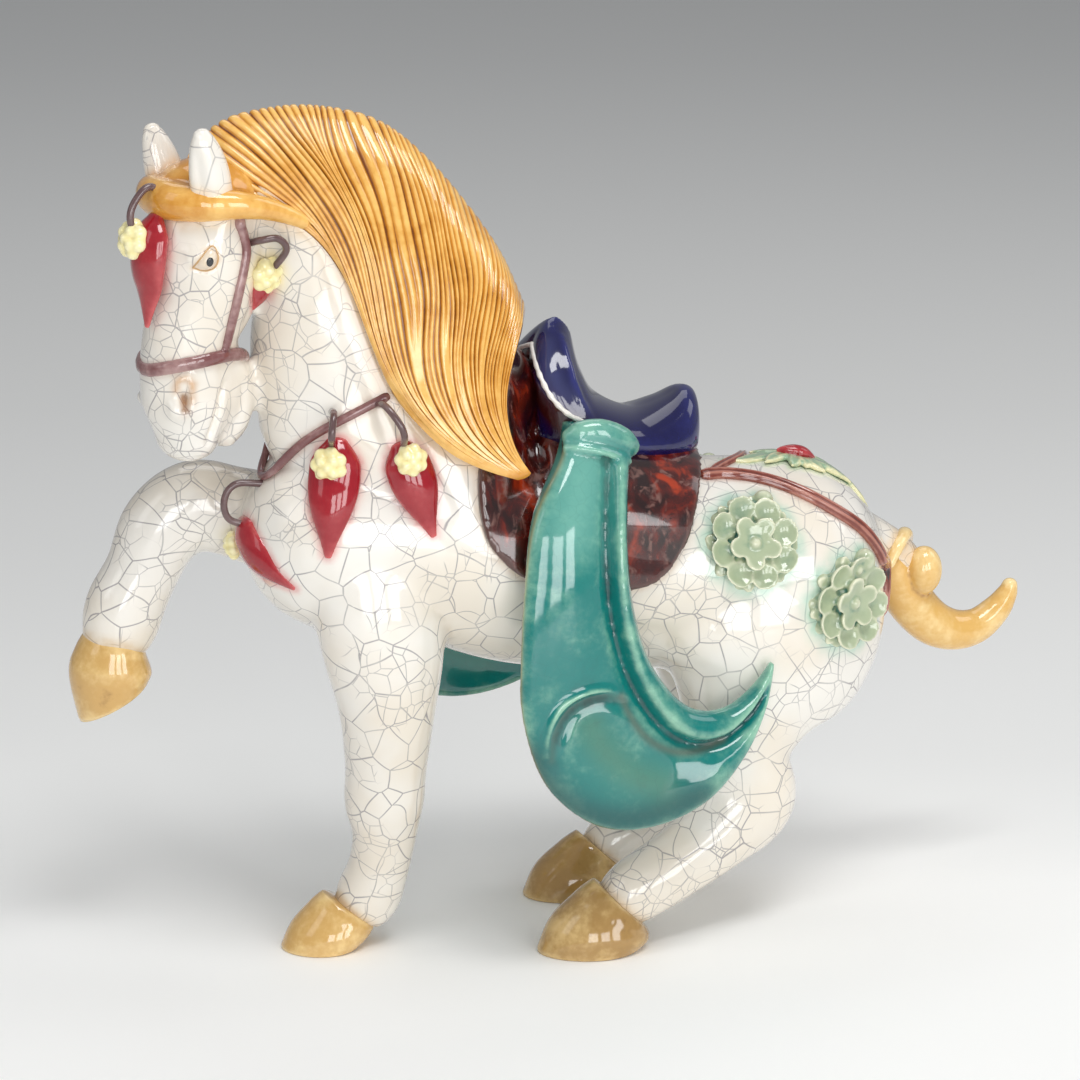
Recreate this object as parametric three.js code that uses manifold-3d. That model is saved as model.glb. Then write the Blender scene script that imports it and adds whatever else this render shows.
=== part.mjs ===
import * as THREE from 'three';
import { mergeVertices } from 'three/addons/utils/BufferGeometryUtils.js';
import Module from 'manifold-3d';

// Driving dimensions, in millimetres
const HEIGHT = 280;
const DRAWN_HEIGHT = 280;
const WIRE = 2.3;
const HOOP_GAP = 0.3;
const CLOTH_PROUD = 2.4;
const CLOTH_TOP = 176;
const FAR_SHORTER = 0.89;
const FAR_FORWARD = 26;
const FLAP_THICK = 6.5;
const STRAP_WIDE = 4.6;
const STRAP_PROUD = 1.2;
const ROSETTE = 15.4;
const LOTUS = 24;
const MANE_FLUTES = 16;
const FLUTE_DEEP = 1.5;
const HEAD_TURN = THREE.MathUtils.degToRad(15);
const POLL = [-97, 0, 250];
const CENTRE_X = 10.1;
const CENTRE_Y = -0.8;

// Glaze colours
const WHITE = 0xece6da;
const WIRE_BROWN = 0x3a2a2c;

const V = (x, y, z) => new THREE.Vector3(x, y, z);

// Smooth curve through a list of number rows
function blend(rows, t) {
  const n = rows.length - 1;
  const f = THREE.MathUtils.clamp(t, 0, 1) * n;
  const i = Math.min(Math.floor(f), n - 1);
  const u = f - i;
  return rows[0].map((_, c) => {
    const b = rows[i][c];
    const d = rows[i + 1][c];
    const a = i > 0 ? rows[i - 1][c] : 2 * b - d;
    const e = i + 2 <= n ? rows[i + 2][c] : 2 * d - b;
    const bend = 2 * a - 5 * b + 4 * d - e + u * (3 * (b - d) + e - a);
    return b + 0.5 * u * (d - a + u * bend);
  });
}

// One closed body from points and triangles, turned to face outward
function body(points, tris) {
  const geo = new THREE.BufferGeometry();
  const flat = points.flatMap((p) => [p.x, p.y, p.z]);
  let volume = 0;
  for (const [a, b, c] of tris) {
    volume += points[a].dot(V(0, 0, 0).crossVectors(points[b], points[c]));
  }
  const faces = volume < 0 ? tris.map(([a, b, c]) => [a, c, b]) : tris;
  geo.setAttribute('position', new THREE.Float32BufferAttribute(flat, 3));
  geo.setIndex(faces.flat());
  return geo;
}

// Skin a row of rings, closed with a point at each end
function skin(rings, first, last) {
  const n = rings[0].length;
  const points = [...rings.flat(), first, last];
  const a = points.length - 2;
  const tris = [];
  for (let j = 0; j < n; j += 1) {
    const k = (j + 1) % n;
    tris.push([a, k, j]);
    for (let i = 0; i + 1 < rings.length; i += 1) {
      const p = i * n;
      tris.push([p + j, p + k, p + n + k], [p + j, p + n + k, p + n + j]);
    }
    const q = (rings.length - 1) * n;
    tris.push([q + j, q + k, a + 1]);
  }
  return body(points, tris);
}

// A sheet with two faces and walls round its edge
function slab(outer, inner) {
  const m = outer.length;
  const n = outer[0].length;
  const points = [...outer.flat(), ...inner.flat()];
  const o = (i, j) => i * n + j;
  const h = (i, j) => m * n + i * n + j;
  const tris = [];
  const quad = (a, b, c, d) => tris.push([a, b, c], [a, c, d]);
  for (let i = 0; i + 1 < m; i += 1) {
    for (let j = 0; j + 1 < n; j += 1) {
      quad(o(i, j), o(i, j + 1), o(i + 1, j + 1), o(i + 1, j));
      quad(h(i, j), h(i + 1, j), h(i + 1, j + 1), h(i, j + 1));
    }
    quad(o(i, 0), o(i + 1, 0), h(i + 1, 0), h(i, 0));
    quad(o(i + 1, n - 1), o(i, n - 1), h(i, n - 1), h(i + 1, n - 1));
  }
  for (let j = 0; j + 1 < n; j += 1) {
    quad(o(0, j + 1), o(0, j), h(0, j), h(0, j + 1));
    quad(o(m - 1, j), o(m - 1, j + 1), h(m - 1, j + 1), h(m - 1, j));
  }
  return body(points, tris);
}

// Tube through stations: x, y, z, radius across the bend, radius to the side
// and, when given, the side direction
function loft(rows, { around = 12, along = 12, domes = [1, 1], side = [0, 1, 0] } = {}) {
  const ring = (t, push, shrink) => {
    const row = blend(rows, t);
    const near = blend(rows, Math.max(t - 0.01, 0));
    const far = blend(rows, Math.min(t + 0.01, 1));
    const T = V(far[0] - near[0], far[1] - near[1], far[2] - near[2]).normalize();
    const S = V(...(row.length > 5 ? row.slice(5, 8) : side));
    S.addScaledVector(T, -S.dot(T)).normalize();
    const U = V(0, 0, 0).crossVectors(S, T);
    const C = V(row[0], row[1], row[2]).addScaledVector(T, push * Math.min(row[3], row[4]));
    const loop = [];
    for (let j = 0; j < around; j += 1) {
      const q = (2 * Math.PI * j) / around;
      const p = C.clone().addScaledVector(U, row[3] * shrink * Math.cos(q));
      loop.push(p.addScaledVector(S, row[4] * shrink * Math.sin(q)));
    }
    return { loop, C };
  };
  const rings = [];
  if (domes[0] > 0) {
    rings.push(ring(0, -0.9 * domes[0], 0.42).loop, ring(0, -0.5 * domes[0], 0.86).loop);
  }
  for (let i = 0; i <= along; i += 1) rings.push(ring(i / along, 0, 1).loop);
  if (domes[1] > 0) {
    rings.push(ring(1, 0.5 * domes[1], 0.86).loop, ring(1, 0.9 * domes[1], 0.42).loop);
  }
  return skin(rings, ring(0, -domes[0], 0).C, ring(1, domes[1], 0).C);
}

// Ball with three radii
function ball(x, y, z, rx, ry = rx, rz = rx, wide = 10, high = 7) {
  const geo = new THREE.SphereGeometry(1, wide, high);
  geo.rotateX(Math.PI / 2).scale(rx, ry, rz).translate(x, y, z);
  return geo;
}

const mirror = (geo) => {
  const points = geo.attributes.position;
  for (let i = 0; i < points.count; i += 1) points.setY(i, -points.getY(i));
  const index = geo.index.array;
  for (let i = 0; i < index.length; i += 3) {
    [index[i], index[i + 1]] = [index[i + 1], index[i]];
  }
  return geo;
};

// Joining and cutting of closed bodies
const wasm = await Module();
wasm.setup();
const solid = (geo) => {
  const clean = geo.clone();
  clean.deleteAttribute('normal');
  clean.deleteAttribute('uv');
  const welded = mergeVertices(clean, 1e-4);
  const vertProperties = new Float32Array(welded.attributes.position.array);
  const triVerts = new Uint32Array(welded.index.array);
  return new wasm.Manifold(new wasm.Mesh({ numProp: 3, vertProperties, triVerts }));
};
const join = (list) => list.map((g) => (g.isBufferGeometry ? solid(g) : g)).reduce((a, b) => a.add(b));
const shape = (made) => {
  const mesh = made.getMesh();
  const geo = new THREE.BufferGeometry();
  geo.setAttribute('position', new THREE.Float32BufferAttribute(mesh.vertProperties, 3));
  geo.setIndex(new THREE.BufferAttribute(mesh.triVerts, 1));
  return geo;
};

// Trunk and neck
const TRUNK = [
  [-68, 0, 140.5, 32.5, 31],
  [-41, 0, 137.4, 33.4, 35],
  [-7, 0, 127.4, 36, 37],
  [34.5, 0, 121, 35.2, 34.5],
  [60, 0, 118, 35.6, 36],
  [82, 0, 115.5, 36.5, 38],
];
const NECK = [
  [-36, 0, 148, 34, 33],
  [-47, 0, 170, 40, 29],
  [-53, 0, 190, 42, 25],
  [-61, 0, 208, 36.5, 22],
  [-70, 0, 228, 27, 19],
  [-82, 0, 243, 20, 17],
  [-97, 0, 250, 15, 15],
];
const trunk = loft(TRUNK, { around: 14, along: 7 });
const neck = loft(NECK, { around: 14, along: 7, domes: [0, 0] });
const withers = ball(-27, 0, 180, 24, 17, 22, 10, 6);

// Legs
const FORE_NEAR = [
  [-62, -13, 142, 20, 15],
  [-60.5, -18, 124, 21, 16.5],
  [-58.5, -20, 104, 19.6, 16.5],
  [-57.3, -18.5, 84, 15.6, 15],
  [-57, -15, 64, 13.4, 12.8],
  [-57, -12.5, 52, 13.2, 12.6],
  [-56, -9, 40, 10.8, 10.6],
  [-57, -5, 27, 10.2, 10],
  [-60, -2.2, 16, 11, 10.6],
  [-64, -1.4, 9, 9, 9],
];
const FORE_RAISED = [
  [-68, 13, 136, 22, 16],
  [-82, 19, 138.5, 17, 15],
  [-97, 23, 143, 14.8, 13.4],
  [-109, 24.5, 145.6, 14.8, 13],
  [-119.6, 25, 138.6, 14, 12.4],
  [-126.2, 25, 125.6, 12.2, 11.2],
  [-132, 25, 114.6, 13, 11.6],
  [-134.4, 25, 107, 12.6, 11.4],
  [-137, 25, 100, 10, 10],
  [-137.4, 25, 95, 8.6, 8.6],
];
const HIND_NEAR = [
  [70, -11, 122, 42, 24],
  [71, -17, 102, 43, 22.6],
  [69.4, -19.4, 86, 37.4, 20],
  [64.6, -21.4, 71, 23.4, 16.4],
  [62, -23, 57, 16, 14],
  [63.6, -24.5, 43.6, 17.2, 13],
  [51.6, -27, 33, 13.4, 11.6],
  [36, -29, 24, 11.8, 10.8],
  [22.5, -30, 17.4, 11, 10.8],
  [15, -30.2, 12, 8.6, 8.6],
];
const HIND_FAR = [
  [72, 11, 122, 40, 24],
  [72, 17, 102, 39, 22],
  [73, 18.4, 86, 34, 19.6],
  [71.6, 19.6, 71, 22.6, 16.2],
  [71.6, 20, 57, 15.4, 14],
  [73, 20, 43.4, 16.4, 12.8],
  [62, 20.5, 32.6, 12.8, 11.4],
  [47.5, 20.5, 23.2, 11.2, 10.6],
  [34, 20, 16, 11, 10.8],
  [26.5, 20, 11, 8.6, 8.6],
];
const leg = (rows) => loft(rows, { around: 9, along: rows.length - 1, domes: [0, 0] });

// Hoof: sole ring, belly ring and slanted coronet ring
function hoof(sole, crown) {
  const rings = [];
  for (const t of [0, 0.14, 0.6, 1]) {
    const row = blend([sole, sole, crown, crown], (1 + t) / 3);
    const grow = t === 0 ? 0.95 : 1 + 0.04 * Math.sin(Math.PI * t);
    const [x, y, z, ax, ay, az, side] = row;
    const loop = [];
    for (let j = 0; j < 10; j += 1) {
      const q = (2 * Math.PI * j) / 10;
      const u = Math.cos(q);
      const s = Math.sin(q);
      const across = side * grow * s * (1 - 0.12 * u);
      const turn = Math.hypot(ax, ay);
      const px = x + ax * grow * u - (ay / turn) * across;
      const py = y + ay * grow * u + (ax / turn) * across;
      loop.push(V(px, py, z + az * grow * u));
    }
    rings.push(loop);
  }
  const first = V(sole[0], sole[1], sole[2]);
  const last = V(crown[0], crown[1], crown[2]);
  return skin(rings, first, last);
}
const HOOF_FORE = [[-76.2, -0.6, 0, -13, 0.4, 0, 12.4], [-63.6, -1.4, 14.4, -11.6, 0.4, 5, 11.9]];
const HOOF_RAISED = [[-137.8, 25, 82.6, -11.8, 0, -5.6, 12.4], [-137.6, 25, 102.6, -12, 0, 2, 11.6]];
const HOOF_NEAR = [[6.6, -30, 0, -17.4, 1, 0, 13.4], [18.6, -30.4, 13.4, -12.4, 0.8, 7.2, 11.6]];
const HOOF_FAR = [[17, 20, 0, -17, 0, 0, 13.2], [30, 20, 12, -12.6, 0, 6.2, 11.6]];

// Head, drawn straight and turned about the poll afterwards
const HEAD = [
  [-104, 0, 252, 15, 15],
  [-110, 0, 237, 18.6, 17.5],
  [-110.5, 0, 222, 17.6, 16.8],
  [-113, 0, 209.5, 15, 14],
  [-114.2, 0, 199, 14.2, 13],
  [-116.6, 0, 187, 13.2, 13.6],
  [-117.6, 0, 176.5, 9.6, 11.2],
];
const JAW = [
  [-107, 0, 213, 9, 12],
  [-103.6, 0, 202, 8.4, 10.6],
  [-101.8, 0, 191, 8.6, 10],
  [-102.6, 0, 180.6, 7, 8.6],
  [-106, 0, 174, 4, 6],
];
const turnHead = (geo) => {
  geo.translate(-POLL[0], 0, 0).rotateZ(HEAD_TURN);
  return geo.translate(POLL[0], 0, 0);
};
const turned = (p) => {
  const q = p.clone().sub(V(POLL[0], 0, 0)).applyAxisAngle(V(0, 0, 1), HEAD_TURN);
  return q.add(V(POLL[0], 0, 0));
};
const skull = loft(HEAD, { around: 12, along: 7, domes: [0, 0.8] });
const jaw = loft(JAW, { around: 7, along: 4, domes: [0, 0.6] });
const nostril = (s) => ball(-124, s * 9.4, 188, 5.6, 4.6, 4.4, 6, 3);
const browBone = (s) => ball(-117, s * 12.6, 236, 7.4, 5, 5, 6, 3);

// Ear: a leaf with a hollow front
function ear(s) {
  const rows = [
    [-113, s * 13.4, 248, 4.6, 6],
    [-114.6, s * 14.6, 256, 4.2, 6.8],
    [-115.8, s * 15.6, 263, 3.6, 6.6],
    [-116.4, s * 16.2, 269, 2.6, 4.6],
    [-116.6, s * 16.4, 273.4, 1, 1.4],
  ];
  const leaf = loft(rows, { around: 6, along: 4, domes: [0, 0] });
  const dent = loft([
    [-119, s * 14.2, 257, 2, 2.4],
    [-119.6, s * 15.4, 263, 2.4, 3.4],
    [-119, s * 16, 268.4, 1.4, 1.8],
  ], { around: 5, along: 2, domes: [0, 0] });
  return solid(leaf).subtract(solid(dent));
}

// Rays that seat small parts on a body
const ray = new THREE.Raycaster();
function seatOn(mesh, from, toward) {
  ray.set(from, toward.clone().sub(from).normalize());
  const [hit] = ray.intersectObject(mesh);
  return { p: hit.point, n: hit.face.normal.clone() };
}
const target = (geo) => {
  const mesh = new THREE.Mesh(geo, new THREE.MeshBasicMaterial({ side: THREE.DoubleSide }));
  geo.computeVertexNormals();
  return mesh;
};
// The point of a body that lies straight in from the side at x, z
const fromSide = (mesh, x, z, s, out = 150) => seatOn(mesh, V(x, s * out, z), V(x, 0, z));

// Strap laid along seated points
function strap(places, wide, proud, along) {
  const rows = places.map(({ p, n }, i) => {
    const before = places[Math.max(i - 1, 0)].p;
    const after = places[Math.min(i + 1, places.length - 1)].p;
    const side = V(0, 0, 0).crossVectors(n, after.clone().sub(before)).normalize();
    return [p.x, p.y, p.z, proud, wide / 2, side.x, side.y, side.z];
  });
  return loft(rows, { around: 4, along, domes: [0, 0] });
}

// Drop pendant between two seated points, with a lumpy floret at its head
const DROP = [0.2, 0.8, 1, 0.93, 0.7, 0.4, 0.06];
function pendant(top, tip, wide, off = 0) {
  const n = top.n.clone().add(tip.n).normalize();
  const T = tip.p.clone().sub(top.p);
  const side = V(0, 0, 0).crossVectors(T, n).normalize();
  const rows = DROP.map((w, i) => {
    const c = top.p.clone().addScaledVector(T, i / (DROP.length - 1));
    const lift = off + 0.9 * Math.sin((Math.PI * i) / (DROP.length - 1));
    c.addScaledVector(n, lift);
    return [c.x, c.y, c.z, w * wide * 0.5, w * wide, side.x, side.y, side.z];
  });
  return loft(rows, { around: 6, along: 4, domes: [0, 0] });
}
function floret(place, radius) {
  const geo = new THREE.SphereGeometry(1, 8, 3);
  const points = geo.attributes.position;
  for (let i = 0; i < points.count; i += 1) {
    const p = V(points.getX(i), points.getY(i), points.getZ(i));
    const lump = 1 + 0.12 * Math.cos(4 * Math.atan2(p.z, p.x)) * Math.hypot(p.x, p.z);
    points.setXYZ(i, p.x * radius * lump, p.y * radius * 0.72, p.z * radius * lump);
  }
  const turn = new THREE.Quaternion().setFromUnitVectors(V(0, 1, 0), place.n);
  geo.applyQuaternion(turn);
  const c = place.p.clone().addScaledVector(place.n, radius * 0.35);
  return geo.translate(c.x, c.y, c.z);
}

// Rosette: petals as a height over a disc, laid on a curved seat
function rosette(place, up, radius, { outer = 8, inner = 5, high = 2.6 } = {}) {
  const z = place.n;
  const x = up.clone().addScaledVector(z, -up.dot(z)).normalize();
  const y = V(0, 0, 0).crossVectors(z, x);
  const steps = [0.26, 0.64, 1];
  const lobes = (r, q) => {
    const petal = Math.abs(Math.cos(((r < 0.5 ? inner : outer) * q) / 2));
    return high * (r < 0.9 ? 0.65 + 0.4 * petal : 0.1);
  };
  const rings = steps.map((r) => {
    const loop = [];
    for (let j = 0; j < outer * 2; j += 1) {
      const q = (2 * Math.PI * j) / (outer * 2);
      const scallop = r > 0.6 ? 0.9 + 0.1 * Math.abs(Math.cos((outer * q) / 2)) : 1;
      const d = r * radius * scallop;
      const p = place.p.clone().addScaledVector(x, d * Math.cos(q)).addScaledVector(y, d * Math.sin(q));
      const foot = seatOn(seat, p.clone().addScaledVector(z, 30), p).p;
      loop.push(foot.addScaledVector(z, lobes(r, q)));
    }
    return loop;
  });
  const sunk = rings[rings.length - 1].map((p) => p.clone().addScaledVector(z, -6));
  rings.push(sunk);
  const first = place.p.clone().addScaledVector(z, high * 1.3);
  const last = place.p.clone().addScaledVector(z, -14);
  return skin(rings, first, last);
}

// Mane: strands run from the crest down to a tip on the near side
const CREST = [
  [-122, 252], [-117, 263.5], [-108.4, 272.6], [-96.6, 277.6], [-80.8, 279.5], [-63.4, 276], [-45.8, 266],
  [-32.9, 254.6], [-23.2, 243], [-13.3, 227.7], [-7, 215], [-3.7, 205],
];
const LEFT = [
  [-122, 252, 0], [-107, 251, -14], [-88, 247, -19.5], [-75, 234.5, -21], [-70.2, 223, -22.5],
  [-66.8, 207.5, -25.5], [-59.8, 190.7, -30.5], [-47.2, 177, -35.5], [-31, 166.5, -39.5],
  [-20.5, 162.6, -40.5],
];
const RIGHT = [
  [-3.7, 205, 0], [-4.6, 203, -9], [-8, 198, -20], [-13, 190.5, -30], [-16.4, 181.6, -36],
  [-16.4, 172, -39.5], [-17, 164, -40.5],
];
function maneSide(s, reach) {
  const cols = MANE_FLUTES * 2;
  const rowsDown = s < 0 ? 5 : 2;
  const outer = [];
  const inner = [];
  for (let i = 0; i <= cols; i += 1) {
    const v = i / cols;
    const crest = blend(CREST, v);
    const edge = [];
    const deep = [];
    for (let j = 0; j <= rowsDown; j += 1) {
      const u = (j / rowsDown) ** 1.5 * reach;
      const left = blend(LEFT, u);
      const right = blend(RIGHT, u);
      const top = [crest[0], crest[1]];
      const low = [0, 1].map((c) => left[c] * (1 - v) + right[c] * v);
      const rim = [0, 1].map((c) => CREST[0][c] * (1 - v) + CREST[11][c] * v);
      const x = low[0] + (top[0] - rim[0]) * (1 - u) ** 1.5;
      const z = low[1] + (top[1] - rim[1]) * (1 - u) ** 1.5;
      const side = left[2] * (1 - v) + right[2] * v;
      const arch = Math.sin(Math.PI * v) ** 0.7;
      const full = 27 * arch * Math.sin(Math.min(1, u / 0.45) * Math.PI * 0.5) ** 0.7 * (1 - u) ** 0.6;
      const wide = Math.max(-side, full + 0.35 * -side);
      const ridge = (i % 2 === 0 ? -0.5 : 0.5) * FLUTE_DEEP * (1 - 0.5 * u);
      const reachOut = 1 + ridge / 30;
      const y = s * (wide + ridge * Math.min(1, u * 6));
      const cx = -60 + (x + 60) * (u < 0.3 ? 1 + (reachOut - 1) * (1 - u / 0.3) : 1);
      const cz = z + (u < 0.3 ? ridge * (1 - u / 0.3) * 0.7 : 0);
      edge.push(V(cx, y, cz));
      deep.push(V(-60 + (cx + 60) * 0.95, -s * 1.5, 200 + (cz - 200) * 0.95));
    }
    outer.push(edge);
    inner.push(deep);
  }
  return slab(outer, inner);
}
const maneNear = maneSide(-1, 1);
const maneFar = maneSide(1, 0.32);

// Forelock roll across the brow
const forelock = turnHead(loft([
  [-92, -17, 248.5, 4, 4],
  [-104, -19, 248, 5, 5],
  [-117, -15.5, 247.6, 5.6, 5.8],
  [-125.4, -6, 249, 6, 6],
  [-125.4, 6, 249, 6, 6],
  [-117, 15.5, 247.6, 5.6, 5.8],
  [-104, 19, 248, 5, 5],
  [-92, 17, 248.5, 4, 4],
], { around: 6, along: 7, domes: [0, 0], side: [0, 0, 1] }));
const fringe = turnHead(ball(-107, 0, 251, 20, 19, 13, 12, 6));

// Saddle: an arched seat filled down into the back
const SEAT_TOP = [
  [-3.6, 191], [-0.8, 200], [5, 205.2], [10, 200.4], [12.6, 189.6], [18, 180], [31, 173.6], [42, 176],
  [49, 179.2], [53.4, 177], [54.6, 170.6],
];
const SEAT_EDGE = [
  [-5.6, 189.6, -8], [-6, 187.6, -15], [-3.8, 184, -18.8], [0, 179.6, -21.2], [6, 174, -22.8],
  [14, 168.6, -22.6], [26, 165, -20.8], [38, 163.4, -18.6], [47, 163, -15.4], [52.6, 163.4, -10],
  [54.8, 164, -5],
];
function saddleSide(s) {
  const outer = [];
  const inner = [];
  for (let i = 0; i < SEAT_TOP.length; i += 1) {
    const top = SEAT_TOP[i];
    const foot = SEAT_EDGE[i];
    const edge = [];
    const deep = [];
    for (let j = 0; j <= 3; j += 1) {
      const u = j / 3;
      const x = top[0] + (foot[0] - top[0]) * u;
      const y = -foot[2] * Math.sin(u * Math.PI * 0.5);
      const z = foot[1] + (top[1] - foot[1]) * Math.cos(u * Math.PI * 0.5);
      edge.push(V(x, s * (u === 0 ? -0.9 : y), z));
      const low = 150 - 8 * u;
      deep.push(V(12 + (x - 12) * 0.7, s * (u === 0 ? -0.9 : y * 0.55), low));
    }
    outer.push(edge);
    inner.push(deep);
  }
  return slab(outer, inner);
}

// Hanging cloth: grid between a left and a right edge curve
const FLAP_LEFT = [
  [-1, 176, -27], [-5, 167.5, -33], [-12.6, 150, -41.5], [-18.4, 132, -45.5], [-21.8, 110, -48.5],
  [-22.2, 88, -50.5], [-15, 65.6, -52], [1, 51, -53], [20, 48, -53], [38.6, 54, -52],
  [52.6, 67, -49.5], [61.4, 82, -46], [65.6, 95, -42.6],
];
const FLAP_RIGHT = [
  [18.6, 174, -26.5], [18.8, 166, -32.5], [16, 154, -39.5], [14.4, 139, -44.5], [15.4, 122, -46.8],
  [19.8, 105, -48], [26.6, 93.4, -49], [33.6, 86.6, -49.4], [41, 84, -48.6], [48.6, 84.6, -47],
  [55.4, 88, -45], [61, 92.6, -43.4], [64.4, 96.6, -42.2],
];
function flap() {
  const outer = [];
  const inner = [];
  const across = [0, 0.25, 0.5, 0.7, 0.85, 1];
  const steps = 12;
  for (let i = 0; i <= steps; i += 1) {
    const t = i / steps;
    const left = blend(FLAP_LEFT, t);
    const right = blend(FLAP_RIGHT, t);
    const edge = [];
    const deep = [];
    across.forEach((u) => {
      const x = left[0] + (right[0] - left[0]) * u;
      const z = left[1] + (right[1] - left[1]) * u;
      const y = left[2] + (right[2] - left[2]) * u;
      const spread = Math.min(1, t * 5) * Math.min(1, (1 - t) * 4);
      const broad = 3.6 * Math.sin(Math.PI * Math.min(1, u / 0.72)) * spread;
      const roll = u > 0.7 ? 3.4 * Math.sin((Math.PI * (u - 0.7)) / 0.32) : 0;
      const crease = u === 0.7 ? -0.6 * spread : 0;
      const cap = t < 0.09 ? 1.6 : 0;
      const round = u === 0 || u === 1 ? FLAP_THICK * 0.5 : FLAP_THICK * 0.82;
      const rise = round + broad + roll * (0.35 + 0.65 * spread) + crease + cap;
      edge.push(V(x, y - rise + FLAP_THICK * 0.5, z));
      const back = u === 0 || u === 1 ? 0.24 : 0.5;
      const fill = 8 * Math.max(0, 1 - t / 0.26);
      deep.push(V(x, y + FLAP_THICK * back - 0.5 * broad + fill, z));
    });
    outer.push(edge);
    inner.push(deep);
  }
  return slab(outer, inner);
}
// Spiral edge of the cloth's end
const SPIRAL = [
  [18, 88, -55], [11, 91.4, -56], [3, 90.4, -56.8], [-4, 84, -57], [-8.6, 75, -56.6], [-9.6, 66, -55.4],
];
const spiral = () => loft(SPIRAL.map(([x, z, y]) => [x, y, z, 2, 2.2]), { around: 5, along: 6, domes: [0, 0] });
// The hidden side's cloth hangs shorter and further forward
const farCloth = (geo) => {
  const points = mirror(geo).attributes.position;
  for (let i = 0; i < points.count; i += 1) {
    const drop = CLOTH_TOP - points.getZ(i);
    const slide = FAR_FORWARD * Math.min(1, drop / 60);
    points.setX(i, points.getX(i) - slide);
    points.setZ(i, CLOTH_TOP - drop * FAR_SHORTER);
  }
  return geo;
};
// Cap that closes the cloth's top
const capRoll = () => loft([
  [-3.4, -30, 172, 3, 3.4], [1.6, -31, 175, 4, 4], [8.4, -31.4, 176.2, 4.4, 4.2],
  [15.4, -30.6, 174.6, 4, 4], [20, -28.6, 171, 3, 3.4],
], { around: 6, along: 4, side: [0, 0, 1], domes: [0, 0] });

// Saddle cloth: the body grown a little and cut to the cloth's outline
const grow = (rows, by) => rows.map(([x, y, z, a, b]) => [x, y, z, a + by, b + by]);
const CLOTH = [
  [-14, 205], [-19, 186], [-27, 172], [-30.4, 160], [-29.4, 145], [-25, 137], [-17.6, 130.4], [-6, 126.4],
  [8, 124], [20, 123.4], [29, 126.6], [35.4, 134.6], [38.8, 146], [43.6, 156], [49.6, 161], [53, 170],
  [53, 205],
];
const PAD = [
  [-8, 0, 146, 27, 34],
  [8, 0, 143, 27.5, 36.8],
  [28, 0, 141, 24.6, 37.4],
  [42, 0, 140, 23.6, 36.6],
  [51, 0, 139, 20.5, 34.5],
];
function saddleCloth() {
  const outline = new THREE.Shape(CLOTH.map(([x, z]) => new THREE.Vector2(x, z)));
  const plate = new THREE.ExtrudeGeometry(outline, { depth: 120, bevelEnabled: false });
  plate.rotateX(Math.PI / 2).translate(0, 60, 0);
  const grown = solid(loft(grow(TRUNK, CLOTH_PROUD), { around: 14, along: 7 }));
  const collar = solid(loft(grow(NECK, CLOTH_PROUD), { around: 14, along: 7, domes: [0, 0] }));
  const hump = solid(ball(-27, 0, 180, 24 + CLOTH_PROUD, 17 + CLOTH_PROUD, 22 + CLOTH_PROUD, 10, 6));
  const pad = solid(loft(PAD, { around: 10, along: 3, domes: [0, 0] }));
  return grown.add(collar).add(hump).add(pad).intersect(solid(plate));
}

// Tail
const DOCK = [
  [106, 0, 124.6, 11, 12],
  [116, 0, 120.6, 8.8, 10],
  [125.4, 0, 114.4, 8, 8.8],
  [130, 0, 107, 8.6, 9],
];
const TAIL = [
  [127.6, 0, 110, 7.6, 8], [131.4, 0, 101.7, 10, 9.6], [137.4, 0, 93.2, 10.8, 9.6], [146.4, 0, 88, 9, 8.4],
  [156, 0, 86.8, 7.4, 7], [163.8, 0, 91.6, 5.2, 5.2], [167.2, 0, 98, 3.2, 3.2], [168.6, 0, 102.4, 1, 1],
];
const dock = loft(DOCK, { around: 10, along: 3, domes: [0, 0] });
const tail = loft(TAIL, { around: 9, along: 8, domes: [0.8, 0] });
const knot = () => ball(133, -4.6, 111, 6.2, 6.4, 8.6, 8, 5);

// The bare body, and the meshes used as seats
const bare = shape(join([trunk, neck, withers, leg(HIND_NEAR), leg(HIND_FAR)]));
const seat = target(bare);
const skullSeat = target(skull.clone());

// Bridle, on the straight head
const bridleStrap = (s) => {
  const rows = [[-106, 249], [-105, 239], [-106, 227], [-108.6, 215], [-111, 203]];
  const places = rows.map(([x, z]) => fromSide(skullSeat, x, z, s));
  return turnHead(strap(places, 4.2, STRAP_PROUD, 4));
};
const noseband = () => {
  const rows = [];
  for (let i = 0; i <= 8; i += 1) {
    const q = (2 * Math.PI * i) / 8;
    const z = 199.6 - 1.6 * Math.cos(q);
    const from = V(-114 - 60 * Math.cos(q), 60 * Math.sin(q), z);
    rows.push(seatOn(skullSeat, from, V(-114, 0, z)));
  }
  return turnHead(strap(rows, 4.4, STRAP_PROUD, 7));
};

// Breast strap and pendants
const breastPoint = (x, z, s) => fromSide(seat, x, z, s);
const chestFront = (y, z) => seatOn(seat, V(-160, y, z), V(-60, y * 0.6, z));
const breastStrap = () => {
  const side = [[-56, 188], [-63, 186], [-70, 182], [-77, 177.4]];
  const front = [[-15, 171], [-9, 163], [0, 157.6]];
  const half = (s) => [
    ...side.map(([x, z]) => breastPoint(x, z, s)),
    ...front.map(([y, z]) => chestFront(-s * y, z)),
  ];
  const near = half(-1).map((h, i) => (i > 3 ? chestFront(front[i - 4][0], front[i - 4][1]) : h));
  const far = half(1).map((h, i) => (i > 3 ? chestFront(-front[i - 4][0], front[i - 4][1]) : h));
  return strap([...near, ...far.slice(0, 6).reverse()], 3.6, STRAP_PROUD, 9);
};
const CRUPPER = [
  [49.6, 19, 153], [60, 14.5, 152], [70.5, 15.5, 150], [79, 20, 146], [89, 26, 139.7], [98.6, 28.8, 129.4],
  [106, 25, 119],
];
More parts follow.
